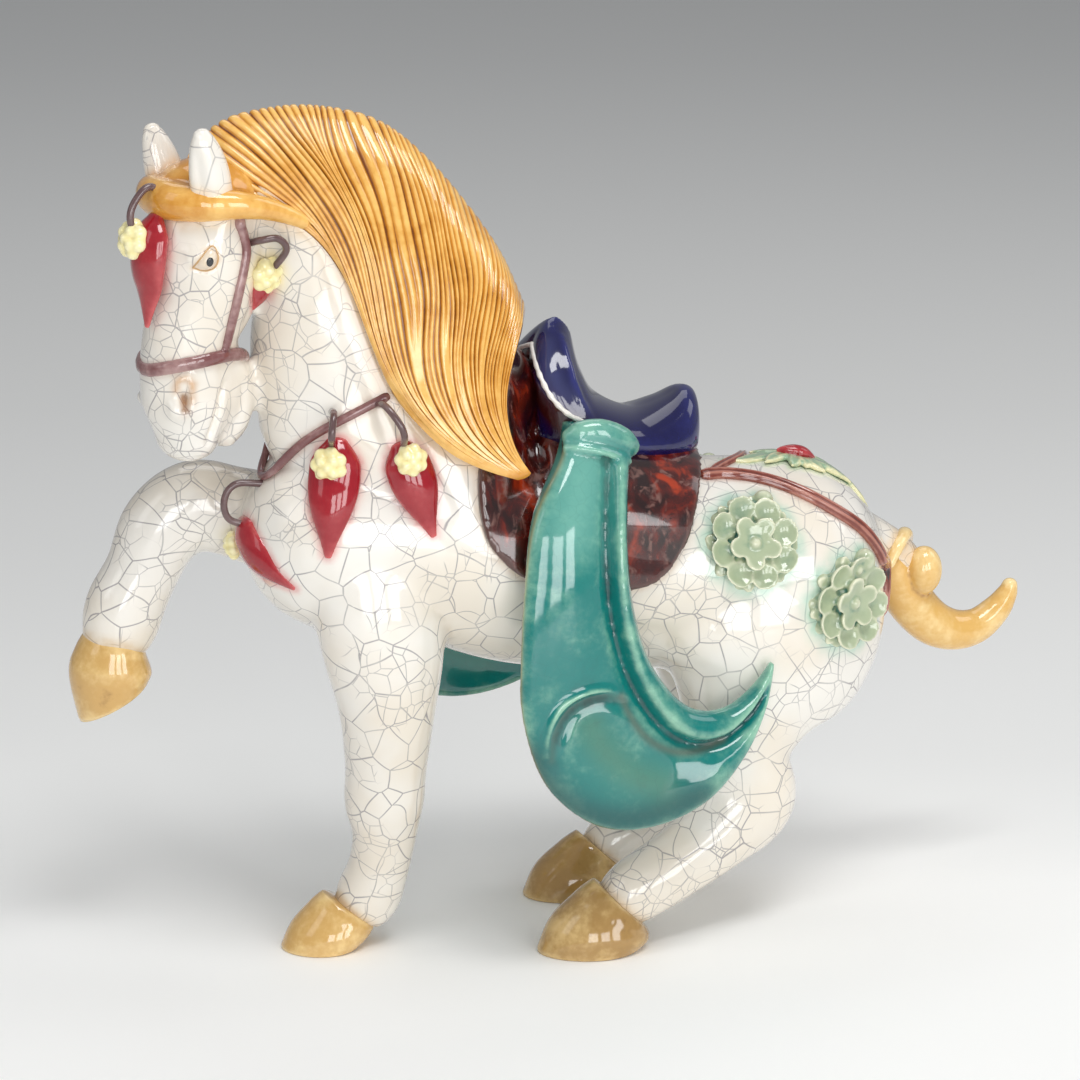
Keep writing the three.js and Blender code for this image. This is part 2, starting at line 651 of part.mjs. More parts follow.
const crupper = (s) => {
  const places = CRUPPER.map(([x, y, z]) => {
    const spine = V(Math.min(x, 94), 0, 118);
    const out = V(x, s * y, z).sub(spine).multiplyScalar(3).add(spine);
    return seatOn(seat, out, spine);
  });
  return strap(places, STRAP_WIDE, STRAP_PROUD + 0.4, 6);
};

const hung = [];
const drops = [
  [fromSide(seat, -74.6, 175, -1), fromSide(seat, -78.6, 140, -1), 8],
  [fromSide(seat, -52.6, 172, -1), fromSide(seat, -48, 147, -1), 6.6],
  [fromSide(seat, -74.6, 175, 1), fromSide(seat, -78.6, 140, 1), 8],
  [fromSide(seat, -52.6, 172, 1), fromSide(seat, -48, 147, 1), 6.6],
];
for (const [top, tip, wide] of drops) {
  hung.push(pendant(top, tip, wide), floret(top, 6.2));
}
const frontTop = chestFront(0, 146);
const frontTip = seatOn(seat, V(-110, 0, 92), V(-76, 0, 132));
hung.push(pendant(frontTop, frontTip, 8.4), floret(frontTop, 5.6));

const faceTop = seatOn(skullSeat, V(-180, 0, 243), V(-110, 0, 240));
const faceTip = seatOn(skullSeat, V(-180, 0, 212), V(-110, 0, 212));
const faceDrop = turnHead(pendant(faceTop, faceTip, 7, 2.6));
const faceFloret = turnHead(floret({ p: faceTop.p.clone().addScaledVector(faceTop.n, 3), n: faceTop.n }, 5.8));
const cheekTop = (s) => fromSide(skullSeat, -96.4, 228, s);
const cheekTip = (s) => fromSide(skullSeat, -98.6, 216, s);
const cheekDrop = (s) => turnHead(pendant(cheekTop(s), cheekTip(s), 4.6));
const cheekFloret = (s) => turnHead(floret(cheekTop(s), 5.4));

// Rosettes on the rump and the lotus on the spine
const flowers = [];
for (const s of [-1, 1]) {
  const front = fromSide(seat, 60, 135.6, s);
  const rear = seatOn(seat, V(140, s * 140, 104), V(93, s * 32, 110.6));
  front.n = V(0.05, s, 0.3).normalize();
  rear.n = V(0.4, s * 0.9, 0).normalize();
  flowers.push(rosette(front, V(0, 0, 1), ROSETTE), rosette(rear, V(0, 0, 1), ROSETTE));
}
const crown = seatOn(seat, V(92, 0, 260), V(85, 0, 120));
crown.n = V(0.3, 0, 1).normalize();
flowers.push(rosette(crown, V(1, 0, 0), LOTUS, { outer: 8, inner: 6, high: 1.8 }));
const bud = ball(crown.p.x + 1, 0, crown.p.z + 1.6, 4.6, 4.6, 3.8, 8, 6);

// One glazed casting
const head = join([skull, jaw, nostril(-1), nostril(1), browBone(-1), browBone(1)]);
const headTurned = turnHead(shape(head));
const ears = [-1, 1].map((s) => turnHead(shape(ear(s))));
const horse = join([
  trunk, neck, withers, headTurned, ...ears,
  leg(FORE_NEAR), leg(FORE_RAISED), leg(HIND_NEAR), leg(HIND_FAR),
  hoof(...HOOF_FORE), hoof(...HOOF_RAISED), hoof(...HOOF_NEAR), hoof(...HOOF_FAR),
  maneNear, maneFar, forelock, fringe,
  saddleCloth(), saddleSide(-1), saddleSide(1),
  flap(), farCloth(flap()), spiral(), capRoll(), farCloth(capRoll()),
  dock, tail, knot(),
  bridleStrap(-1), bridleStrap(1), noseband(), breastStrap(), crupper(-1), crupper(1),
  ...hung, faceDrop, faceFloret, cheekDrop(-1), cheekDrop(1), cheekFloret(-1), cheekFloret(1),
  ...flowers, bud,
]);

// Hoops: wire bowed between two seats, ending just clear of the glaze
const glazed = target(shape(horse));
const hoop = (first, bends, last) => {
  const end = (from, toward) => {
    const { p } = seatOn(glazed, from, toward);
    return p.addScaledVector(from.clone().sub(p).normalize(), HOOP_GAP + WIRE * 0.3);
  };
  const path = [end(bends[0], first), ...bends, end(bends[bends.length - 1], last)];
  const rows = path.map((p, i) => {
    const r = (i === 0 || i === path.length - 1 ? 0.7 : 1) * WIRE * 0.5;
    return [p.x, p.y, p.z, r, r];
  });
  return loft(rows, { around: 5, along: 6, domes: [0, 0], side: [0.3, 1, 0.2] });
};
const onHead = (x, y, z) => turned(V(x, y, z));
const foreheadHoop = () => hoop(
  onHead(-124, -3, 250),
  [onHead(-132.4, -3, 258.4), onHead(-137.4, -3, 254), onHead(-138.6, -3, 248.6)],
  onHead(-133, -2, 240),
);
const cheekHoop = (s) => hoop(
  onHead(-103, s * 10, 236),
  [onHead(-100.6, s * 22, 238.6), onHead(-95, s * 23, 239.4), onHead(-91.6, s * 22, 235.4)],
  onHead(-95, s * 12, 229),
);
const breastHoop = () => hoop(
  V(-88, -2, 159),
  [V(-103.4, -2, 160), V(-107.4, -2, 155), V(-106.6, -2, 149.6)],
  V(-95, -2, 144),
);
const sideHoop1 = (s) => hoop(
  V(-72, s * 10, 186),
  [V(-74.5, s * 27, 187), V(-76.5, s * 30.5, 182), V(-77, s * 30, 178.5)],
  V(-75, s * 20, 174),
);
const sideHoop2 = (s) => hoop(
  V(-61, s * 15, 187),
  [V(-59.5, s * 35.4, 189), V(-55, s * 39, 183.6), V(-53.4, s * 38.6, 179.4)],
  V(-52.6, s * 28, 172),
);

const group = new THREE.Group();
const scale = HEIGHT / DRAWN_HEIGHT;
const place = (geo) => geo.translate(-CENTRE_X, -CENTRE_Y, 0).scale(scale, scale, scale);
const addMesh = (name, geo, colour, roughness) => {
  const material = new THREE.MeshStandardMaterial({ color: colour, roughness });
  const mesh = new THREE.Mesh(place(geo), material);
  mesh.name = name;
  group.add(mesh);
};
addMesh('horse', shape(horse), WHITE, 0.15);
addMesh('forehead_hoop', foreheadHoop(), WIRE_BROWN, 0.35);
addMesh('cheek_hoop_near', cheekHoop(-1), WIRE_BROWN, 0.35);
addMesh('cheek_hoop_far', cheekHoop(1), WIRE_BROWN, 0.35);
addMesh('breast_hoop_front', breastHoop(), WIRE_BROWN, 0.35);
addMesh('breast_hoop_near_1', sideHoop1(-1), WIRE_BROWN, 0.35);
addMesh('breast_hoop_near_2', sideHoop2(-1), WIRE_BROWN, 0.35);
addMesh('breast_hoop_far_1', sideHoop1(1), WIRE_BROWN, 0.35);
addMesh('breast_hoop_far_2', sideHoop2(1), WIRE_BROWN, 0.35);

export default group;
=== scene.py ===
# %% [markdown]
# # A glazed horse, piece by piece
# The real thing is a hollow figurine, cast in clay and painted with running glazes. The frame that
# is loaded here is its plain solid, made in CAD. Everything below gives it its modelling and its
# glazes, in the same place and at the same size, so the two can be swapped at any time.

# %% Load the frame
import math
import bmesh
import bpy
import numpy as np
from mathutils import Matrix, Vector
from mathutils.bvhtree import BVHTree


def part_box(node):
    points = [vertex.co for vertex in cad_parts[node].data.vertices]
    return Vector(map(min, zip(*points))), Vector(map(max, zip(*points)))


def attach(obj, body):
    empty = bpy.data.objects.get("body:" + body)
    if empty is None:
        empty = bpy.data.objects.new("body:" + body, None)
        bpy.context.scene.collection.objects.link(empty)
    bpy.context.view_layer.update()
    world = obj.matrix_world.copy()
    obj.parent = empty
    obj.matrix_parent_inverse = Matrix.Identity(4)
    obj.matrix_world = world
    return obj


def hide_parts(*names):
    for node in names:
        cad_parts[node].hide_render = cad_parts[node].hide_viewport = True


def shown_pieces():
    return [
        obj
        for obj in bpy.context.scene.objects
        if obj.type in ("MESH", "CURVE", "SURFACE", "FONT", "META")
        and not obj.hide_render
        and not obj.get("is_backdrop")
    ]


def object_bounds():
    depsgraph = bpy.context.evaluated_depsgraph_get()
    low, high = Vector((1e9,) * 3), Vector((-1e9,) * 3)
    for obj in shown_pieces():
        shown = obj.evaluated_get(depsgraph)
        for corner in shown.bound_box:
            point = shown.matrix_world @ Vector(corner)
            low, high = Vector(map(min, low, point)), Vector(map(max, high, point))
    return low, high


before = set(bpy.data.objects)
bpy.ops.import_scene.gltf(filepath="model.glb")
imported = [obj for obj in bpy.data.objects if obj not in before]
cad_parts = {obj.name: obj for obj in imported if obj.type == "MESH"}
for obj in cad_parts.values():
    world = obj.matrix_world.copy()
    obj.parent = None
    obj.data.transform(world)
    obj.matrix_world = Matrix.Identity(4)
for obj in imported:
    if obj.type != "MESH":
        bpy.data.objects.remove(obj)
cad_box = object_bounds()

print("frame holds", sorted(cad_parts))

# %% [markdown]
# ## Sizes
# The modeller drew the horse 280 mm high, nose to the left, with the floor at zero. Working in
# those millimetres keeps the numbers readable, so one function turns them into the metres of the
# frame. It is measured from the loaded solid and not typed, so the two can't drift apart.

# %% Millimetres of the drawing to metres of the frame
DRAWN_HEIGHT = 280
CENTRE = np.array([10.1, -0.8, 0])
low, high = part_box("horse")
MM = round((high.z - low.z) / DRAWN_HEIGHT, 6)


def metres(points):
    """Drawing millimetres to metres of the frame"""
    return (np.asarray(points, float) - CENTRE) * MM


def drawn(points):
    """Metres of the frame back to drawing millimetres"""
    return np.asarray(points, float) / MM + CENTRE


print("one drawn millimetre is", MM, "m")

# %% [markdown]
# ## The camera
# The photograph was taken from a little above, 18 degrees round from the side and far away, so the
# picture is nearly flat. A long lens at 1.2 m gives that. The camera comes first because the eye
# and the nostrils are placed where it sees them.

# %% Camera
LOOK_TURN = math.radians(18)
LOOK_DOWN = math.radians(16)
LOOK_FROM = 1200
LOOK_AT = np.array([0, 0, 131])
PIXEL = 0.325
PICTURE = 1080
SENSOR = 36
view_line = np.array([
    math.sin(LOOK_TURN) * math.cos(LOOK_DOWN),
    math.cos(LOOK_TURN) * math.cos(LOOK_DOWN),
    -math.sin(LOOK_DOWN),
])
view_right = np.array([math.cos(LOOK_TURN), -math.sin(LOOK_TURN), 0])
view_up = np.cross(view_right, view_line)
eye_point = LOOK_AT - LOOK_FROM * view_line
bpy.ops.object.camera_add(location=metres(eye_point))
camera = bpy.context.object
camera.rotation_euler = Vector(view_line).to_track_quat("-Z", "Y").to_euler()
camera.data.sensor_width = SENSOR
camera.data.lens = SENSOR * LOOK_FROM / (PICTURE * PIXEL)
camera.data.clip_start = 0.05
camera.data.dof.use_dof = False
bpy.context.scene.camera = camera
print("lens", round(camera.data.lens, 1), "mm")

# %% [markdown]
# ## Curves through measured points
# A limb is a row of stations: where its middle is and how thick it is there. A smooth curve through
# the stations gives as many cross-sections as the surface needs. The same curve carries positions,
# thicknesses and directions, since they are all only numbers in a row.

# %% Smooth values between stations
def glide(rows, t):
    """Values of a smooth curve through rows of numbers, at shares t of its length"""
    rows = np.asarray(rows, float)
    held = np.vstack([2 * rows[0] - rows[1], rows, 2 * rows[-1] - rows[-2]])
    f = np.clip(np.asarray(t, float), 0, 1) * (len(rows) - 1)
    i = np.minimum(f.astype(int), len(rows) - 2)
    u = (f - i)[..., None]
    a, b, c, d = held[i], held[i + 1], held[i + 2], held[i + 3]
    return b + 0.5 * u * (c - a + u * (2 * a - 5 * b + 4 * c - d + u * (3 * (b - c) + d - a)))


def spaced(rows, count):
    """Values of the curve at a number of equal steps"""
    return glide(rows, np.linspace(0, 1, count))


def turns(count):
    """Angles of equal steps round a circle"""
    return np.linspace(0, 2 * math.pi, count, endpoint=False)


def relax(points, times):
    """Even out a row of points, its two ends held"""
    for _ in range(times):
        points[1:-1] = (points[:-2] + 2 * points[1:-1] + points[2:]) / 4


def unit(vectors):
    """The same directions, one long"""
    vectors = np.asarray(vectors, float)
    return vectors / np.maximum(np.linalg.norm(vectors, axis=-1, keepdims=True), 1e-9)


def rings(rows, around=48, steps=60, domes=(1, 1), side=(0, 1, 0), section=None):
    """Cross-sections of a limb; a row has x, y, z, radius across the bend, radius to the side

    Rows of eight also hold the direction to the side. Section shapes the ring by its angle.
    """
    t = np.linspace(0, 1, steps)
    row = glide(rows, t)
    ahead = unit(glide(rows, t + 0.01)[:, :3] - glide(rows, t - 0.01)[:, :3])
    beside = row[:, 5:8] if row.shape[1] > 5 else np.tile(np.asarray(side, float), (steps, 1))
    beside = unit(beside - ahead * (beside * ahead).sum(1)[:, None])
    across = np.cross(beside, ahead)
    centre, size = row[:, :3], row[:, 3:5]
    lids = np.radians([84, 68, 50, 34, 16])
    parts = [(0, -math.sin(a) * domes[0], math.cos(a)) for a in lids if domes[0]]
    parts += [(i, 0, 1) for i in range(steps)]
    parts += [(steps - 1, math.sin(a) * domes[1], math.cos(a)) for a in lids[::-1] if domes[1]]
    q = turns(around)
    made = []
    for i, push, shrink in parts:
        middle = centre[i] + ahead[i] * push * min(size[i])
        wave = np.ones(around) if section is None else section(q)
        ring = middle + np.outer(np.cos(q) * wave, across[i]) * size[i][0] * shrink
        made.append(ring + np.outer(np.sin(q) * wave, beside[i]) * size[i][1] * shrink)
    return np.array(made)


print("halfway from 0 to 2 the curve gives", glide([[0], [1], [2]], 0.5))

# %% [markdown]
# ## Turning numbers into meshes
# Two moves make every piece here. A grid is rolled into a tube and its ends are closed, which gives
# limbs, straps and wires. Or a grid is bent into a sheet and extruded into a thick one, which gives
# the mane, the saddle and the hanging cloths. Both start from a primitive and stay closed.

# %% Grid rolled into a tube, and a thick sheet
def alone(piece):
    """Select one object and nothing else"""
    bpy.ops.object.select_all(action="DESELECT")
    piece.select_set(True)
    bpy.context.view_layer.objects.active = piece
    return piece


def grid(name, points):
    """A grid primitive whose points lie where the numbers say"""
    rows, columns = points.shape[:2]
    bpy.ops.object.select_all(action="DESELECT")
    bpy.ops.mesh.primitive_grid_add(x_subdivisions=columns - 1, y_subdivisions=rows - 1, size=0.1)
    piece = bpy.context.object
    piece.name = name
    piece.data.vertices.foreach_set("co", points.reshape(-1, 3).astype(np.float32).ravel())
    piece.data.update()
    return piece


def edit(piece, *steps):
    """Run edit mode steps on a whole mesh, then turn its faces outward"""
    alone(piece)
    bpy.ops.object.mode_set(mode="EDIT")
    bpy.ops.mesh.select_all(action="SELECT")
    for step in steps:
        step()
    bpy.ops.mesh.select_all(action="SELECT")
    bpy.ops.mesh.normals_make_consistent(inside=False)
    bpy.ops.object.mode_set(mode="OBJECT")
    return piece


def merge():
    bpy.ops.mesh.remove_doubles(threshold=1e-6)


def roll(name, loops):
    """Tube through closed rings, in drawing millimetres, with both ends filled"""
    closed = np.concatenate([loops, loops[:, :1]], axis=1)
    return edit(grid(name, metres(closed)), merge, lambda: bpy.ops.mesh.fill_holes(sides=0))


def slab(name, front, back, hollow=None):
    """Closed sheet between a front and a back grid; hollow tells where its front is grooved"""
    piece = grid(name, metres(back))
    mark = piece.data.attributes.new("place", "INT", "POINT")
    mark.data.foreach_set("value", np.arange(len(piece.data.vertices)))
    target = metres(front).reshape(-1, 3)
    tones = np.full(len(target), 0.5) if hollow is None else hollow.ravel()

    def extrude():
        bpy.ops.mesh.extrude_region_move()
        shell = bmesh.from_edit_mesh(piece.data)
        place = shell.verts.layers.int["place"]
        tone = shell.verts.layers.float.new("hollow")
        for vert in shell.verts:
            vert[tone] = 0.5
            if vert.select:
                vert.co = target[vert[place]]
                vert[tone] = tones[vert[place]]
        bmesh.update_edit_mesh(piece.data)

    edit(piece, extrude)
    piece.data.attributes.remove(piece.data.attributes["place"])
    return piece


def sphere(name, around, high):
    bpy.ops.object.select_all(action="DESELECT")
    bpy.ops.mesh.primitive_uv_sphere_add(segments=around, ring_count=high, radius=1)
    bpy.context.object.name = name
    return bpy.context.object


def ball(name, middle, radii, around=32, high=20, turn=None):
    """Sphere primitive stretched to three radii and set in its place"""
    piece = sphere(name, around, high)
    radii = np.broadcast_to(np.asarray(radii, float), (3,)) * MM
    frame_turn = turn.to_4x4() if turn else Matrix.Identity(4)
    place = Matrix.Translation(Vector(metres(middle)))
    piece.data.transform(place @ frame_turn @ Matrix.Diagonal((*radii, 1)))
    return piece


print("tubes, sheets and balls can be made")


# %% Join, melt and read meshes
def weld(name, pieces):
    """Join objects into one mesh"""
    alone(pieces[0])
    for piece in pieces[1:]:
        piece.select_set(True)
    bpy.ops.object.join()
    made = bpy.context.object
    made.name = name
    made.data.name = name
    return made


def apply(piece, kind, **settings):
    """Add a modifier and apply it at once"""
    alone(piece)
    bpy.ops.object.modifier_add(type=kind)
    modifier = piece.modifiers[-1]
    for key, value in settings.items():
        setattr(modifier, key, value)
    bpy.ops.object.modifier_apply(modifier=modifier.name)
    return piece


def fuse(piece, voxel, smooth):
    """Melt overlapping shapes into one skin, as wet clay is worked together"""
    apply(piece, "REMESH", mode="VOXEL", voxel_size=voxel * MM, use_smooth_shade=True)
    return apply(piece, "SMOOTH", factor=0.5, iterations=smooth)


def points_of(piece, what="co"):
    """Vertex positions or normals as rows of three"""
    flat = np.empty(len(piece.data.vertices) * 3, np.float32)
    if what == "co":
        piece.data.vertices.foreach_get("co", flat)
    else:
        piece.data.vertex_normals.foreach_get("vector", flat)
    return flat.reshape(-1, 3).astype(float)


def move_to(piece, points):
    """Set every vertex of a mesh, in metres"""
    piece.data.vertices.foreach_set("co", np.asarray(points, np.float32).ravel())
    piece.data.update()


def triangles(piece):
    piece.data.calc_loop_triangles()
    return len(piece.data.loop_triangles)


print("meshes can be joined, melted and smoothed")

# %% [markdown]
# ## Where glaze is thick and thin
# Melted glaze runs off raised edges and gathers in hollows, so the edges turn pale and the hollows
# dark. One number per vertex tells how hollow the surface is there: the mesh is relaxed for a few
# rounds, and where the relaxed surface lies above the real one, the place is a hollow.

# %% Hollowness as a vertex attribute
def hollowness(piece, rounds, spread):
    """Attribute hollow: 0 on a sharp ridge, 0.5 on a flat, 1 in a groove"""
    points = points_of(piece)
    count = len(points)
    pairs = np.empty(len(piece.data.edges) * 2, np.int32)
    piece.data.edges.foreach_get("vertices", pairs)
    one, other = pairs.reshape(-1, 2).T
    degree = np.bincount(pairs, minlength=count)[:, None]
    relaxed = points.copy()
    for _ in range(rounds):
        total = np.stack([
            np.bincount(one, relaxed[other, k], count) + np.bincount(other, relaxed[one, k], count)
            for k in range(3)
        ], axis=1)
        relaxed = 0.5 * relaxed + 0.5 * total / np.maximum(degree, 1)
    lift = ((relaxed - points) * points_of(piece, "normal")).sum(1) / (spread * MM)
    layers = piece.data.attributes
    layer = layers.get("hollow") or layers.new("hollow", "FLOAT", "POINT")
    layer.data.foreach_set("value", np.clip(0.5 + 0.5 * lift, 0, 1).astype(np.float32))


def bump_of(x, middle, width):
    """Soft bell, one in the middle"""
    return np.exp(-(((x - middle) / width) ** 2))


def step_up(x, start, end):
    """Soft step from 0 to 1"""
    k = np.clip((x - start) / (end - start), 0, 1)
    return k * k * (3 - 2 * k)


def distance_to(points, path):
    """Distance of each point to a line through path points, and the share along it"""
    path = np.asarray(path, float)
    best = np.full(len(points), 1e9)
    share = np.zeros(len(points))
    for i, (a, b) in enumerate(zip(path[:-1], path[1:])):
        run = b - a
        k = np.clip(((points - a) @ run) / max(run @ run, 1e-9), 0, 1)
        d = np.linalg.norm(points - a - k[:, None] * run, axis=1)
        near = d < best
        best[near] = d[near]
        share[near] = (i + k[near]) / (len(path) - 1)
    return best, share


def carve(piece, path, width, depth, taper=True):
    """Press a groove, or with a negative depth raise a ridge, along a path in drawing millimetres"""
    points = points_of(piece)
    d, share = distance_to(drawn(points), path)
    strength = np.exp(-((d / width) ** 2))
    if taper:
        strength *= np.sin(np.pi * np.clip(share, 0.04, 0.96)) ** 0.5
    move_to(piece, points - points_of(piece, "normal") * (strength * depth * MM)[:, None])


print("hollows can be measured and grooves carved")

# %% [markdown]
# ## The body
# The casting was modelled in soft clay: legs, neck and head were pushed on to a trunk and the joints
# smoothed with a thumb. Here each limb is a tube through its stations, all are joined, a voxel
# remesh melts them into one skin, and smoothing does the thumb's work.

# %% Stations of the trunk, neck and legs, in drawing millimetres
TRUNK = [
    [-68, 0, 140.5, 32.5, 31], [-41, 0, 137.4, 33.4, 35], [-7, 0, 127.4, 36, 37],
    [34.5, 0, 121, 35.2, 34.5], [60, 0, 118, 35.6, 36], [82, 0, 115.5, 36.5, 38],
]
NECK = [
    [-36, 0, 148, 34, 33], [-47, 0, 170, 40, 29], [-53, 0, 190, 42, 25], [-61, 0, 208, 36.5, 22],
    [-70, 0, 228, 27, 19], [-82, 0, 243, 20, 17], [-97, 0, 250, 15, 15],
]
FORE_NEAR = [
    [-62, -13, 142, 20, 15], [-60.5, -18, 124, 21, 16.5], [-58.5, -20, 104, 19.6, 16.5],
    [-57.3, -18.5, 84, 15.6, 15], [-57, -15, 64, 13.4, 12.8], [-57, -12.5, 52, 13.2, 12.6],
    [-56, -9, 40, 10.8, 10.6], [-57, -5, 27, 10.2, 10], [-60, -2.2, 16, 11, 10.6],
    [-64, -1.4, 9, 9, 9],
]
FORE_RAISED = [
    [-68, 13, 136, 22, 16], [-82, 19, 138.5, 17, 15], [-97, 23, 143, 14.8, 13.4],
    [-109, 24.5, 145.6, 14.8, 13], [-119.6, 25, 138.6, 14, 12.4], [-126.2, 25, 125.6, 12.2, 11.2],
    [-132, 25, 114.6, 13, 11.6], [-134.4, 25, 107, 12.6, 11.4], [-137, 25, 100, 10, 10],
    [-137.4, 25, 95, 8.6, 8.6],
]
HIND_NEAR = [
    [70, -11, 122, 42, 24], [71, -17, 102, 43, 22.6], [69.4, -19.4, 86, 37.4, 20],
    [64.6, -21.4, 71, 23.4, 16.4], [62, -23, 57, 16, 14], [63.6, -24.5, 43.6, 17.2, 13],
    [51.6, -27, 33, 13.4, 11.6], [36, -29, 24, 11.8, 10.8], [22.5, -30, 17.4, 11, 10.8],
    [15, -30.2, 12, 8.6, 8.6],
]
HIND_FAR = [
    [72, 11, 122, 40, 24], [72, 17, 102, 39, 22], [73, 18.4, 86, 34, 19.6],
    [71.6, 19.6, 71, 22.6, 16.2], [71.6, 20, 57, 15.4, 14], [73, 20, 43.4, 16.4, 12.8],
    [62, 20.5, 32.6, 12.8, 11.4], [47.5, 20.5, 23.2, 11.2, 10.6], [34, 20, 16, 11, 10.8],
    [26.5, 20, 11, 8.6, 8.6],
]
DOCK = [
    [106, 0, 124.6, 11, 12], [116, 0, 120.6, 8.8, 10], [125.4, 0, 114.4, 8, 8.8],
    [130, 0, 107, 8, 8.4],
]
limbs = [
    roll("trunk", rings(TRUNK, 64, 70)),
    roll("neck", rings(NECK, 64, 60, (0, 0))),
    ball("withers", [-27, 0, 180], [24, 17, 22]),
    roll("dock", rings(DOCK, 40, 24, (0, 0))),
]
for row in (FORE_NEAR, FORE_RAISED, HIND_NEAR, HIND_FAR):
    limbs.append(roll("leg", rings(row, 48, 70, (0, 0))))
print(len(limbs), "limbs laid out")

# %% [markdown]
# ## The head
# The head is drawn straight and then turned about the poll, towards the viewer, as the real one is.
# Skull, jaw, brows and nostrils are separate lumps, and each ear is a leaf with a hollow front.

# %% Head, turned about the poll
HEAD_TURN = math.radians(15)
POLL_X = -97
HEAD = [
    [-104, 0, 252, 15, 15], [-110, 0, 237, 18.6, 17.5], [-111, 0, 222, 17.2, 16.6],
    [-116, 0, 209.5, 14.6, 13.8], [-117.4, 0, 199, 14.8, 13.2], [-117.4, 0, 187, 14.2, 13.8],
    [-117.8, 0, 176.5, 9.8, 11.2],
]
JAW = [
    [-111, 0, 213, 7.4, 11.4], [-108, 0, 203, 7.2, 10.4], [-104, 0, 192, 8.4, 10],
    [-103.6, 0, 181, 7, 8.6], [-106, 0, 174, 4, 6],
]


def turned(points):
    """Points of the straight head after its turn"""
    x, y, z = np.moveaxis(np.asarray(points, float), -1, 0)
    c, s = math.cos(HEAD_TURN), math.sin(HEAD_TURN)
    return np.stack([POLL_X + (x - POLL_X) * c - y * s, (x - POLL_X) * s + y * c, z], axis=-1)


limbs.append(roll("skull", turned(rings(HEAD, 48, 50, (0, 0.8)))))
limbs.append(roll("jaw", turned(rings(JAW, 36, 40, (0, 0.6)))))
for side in (-1, 1):
    limbs.append(ball("nostril", turned([-124, side * 9.4, 188]), [5.6, 4.6, 4.4]))
    limbs.append(ball("brow", turned([-117, side * 12.6, 236]), [7.4, 5, 5]))
horse = weld("glazed_body", limbs)
print("joined body has", triangles(horse), "triangles before melting")

# %% Melt the limbs together and smooth the joints
BODY_VOXEL = 1.5
LEAST_SHARE = 0.01


def ahead_of_neck(points):
    return -(points[:, 0] + 0.35 * points[:, 2])


def head_share(ahead, above):
    """0 on the body and 1 on the head, for each vertex, with soft steps between the limits given"""
    points = drawn(points_of(horse))
    return step_up(ahead_of_neck(points), *ahead) * step_up(points[:, 2], *above)


def smooth_where(share, rounds):
    """Smooth the body as far as each vertex's share says"""
    chosen = horse.vertex_groups.new(name="chosen")
    for i in np.nonzero(share > LEAST_SHARE)[0]:
        chosen.add([int(i)], float(share[i]), "REPLACE")
    apply(horse, "SMOOTH", factor=0.5, iterations=rounds, vertex_group=chosen.name)
    horse.vertex_groups.clear()


fuse(horse, BODY_VOXEL, 5)
smooth_where(1 - head_share((-8, 8), (150, 170)), 14)
print("melted body has", triangles(horse), "triangles")

# %% [markdown]
# ## Finer skin on the head
# The face needs smaller detail than a leg does. Only the faces of the head are picked, by their
# place, and cut in four, so the body stays light.

# %% Cut the head's faces in four
middle = np.empty(len(horse.data.polygons) * 3, np.float32)
horse.data.polygons.foreach_get("center", middle)
middle = drawn(middle.reshape(-1, 3))
alone(horse)
bpy.ops.object.mode_set(mode="EDIT")
bpy.ops.mesh.select_mode(type="FACE")
bpy.ops.mesh.select_all(action="DESELECT")
bpy.ops.object.mode_set(mode="OBJECT")
horse.data.polygons.foreach_set("select", (ahead_of_neck(middle) > 4) & (middle[:, 2] > 168))
bpy.ops.object.mode_set(mode="EDIT")
bpy.ops.mesh.subdivide(number_cuts=1)
bpy.ops.mesh.select_mode(type="VERT")
bpy.ops.object.mode_set(mode="OBJECT")
smooth_where(head_share((6, 12), (168, 176)), 4)
print("body with a fine head has", triangles(horse), "triangles")

# %% [markdown]
# ## Finding the surface
# Small parts were stuck on to the finished body, so each needs the point where it touches. A ray is
# shot at the skin and gives that point and the way the skin faces. A ray from the camera through a
# pixel of the photograph does the same for details that only the picture shows.

# %% Rays that seat small parts
def surface(piece):
    """Something that rays can hit"""
    mesh = piece.data
    return BVHTree.FromPolygons([v.co for v in mesh.vertices], [p.vertices for p in mesh.polygons])


skin_tree = surface(horse)


def seat(start, toward, tree=None):
    """Point and outward direction where a ray from start meets the skin"""
    start, toward = np.asarray(start, float), np.asarray(toward, float)
    way = Vector(unit(toward - start))
    hit, normal, _, _ = (tree or skin_tree).ray_cast(Vector(metres(start)), way)
    if hit is None:
        hit, normal, _, _ = (tree or skin_tree).find_nearest(Vector(metres(toward)))
    return drawn(hit), np.array(normal)


def from_side(x, z, side):
    return seat([x, side * 150, z], [x, 0, z])


def seen(px, py, tree=None):
    """Where the camera's ray through a pixel of the photograph meets the skin"""
    reach = LOOK_FROM / PIXEL
    way = view_line + view_right * (px - PICTURE / 2) / reach + view_up * (PICTURE / 2 - py) / reach
    return seat(eye_point, eye_point + way * LOOK_FROM, tree)


def through(px, py, y):
    """Where the camera's ray through a pixel crosses the upright plane at y"""
    reach = LOOK_FROM / PIXEL
    right, up = (np.asarray(px) - PICTURE / 2) / reach, (PICTURE / 2 - np.asarray(py)) / reach
    way = view_line + view_right * right[..., None] + view_up * up[..., None]
    return eye_point + way * ((y - eye_point[1]) / way[..., 1])[..., None]


def across_head(points):
    """The same places on the other side of the turned head"""
    x, y, z = np.moveaxis(np.asarray(points, float), -1, 0)
    c, s = math.cos(HEAD_TURN), math.sin(HEAD_TURN)
    along, out = (x - POLL_X) * c + y * s, -(x - POLL_X) * s + y * c
    return turned(np.stack([along + POLL_X, -out, z], axis=-1))


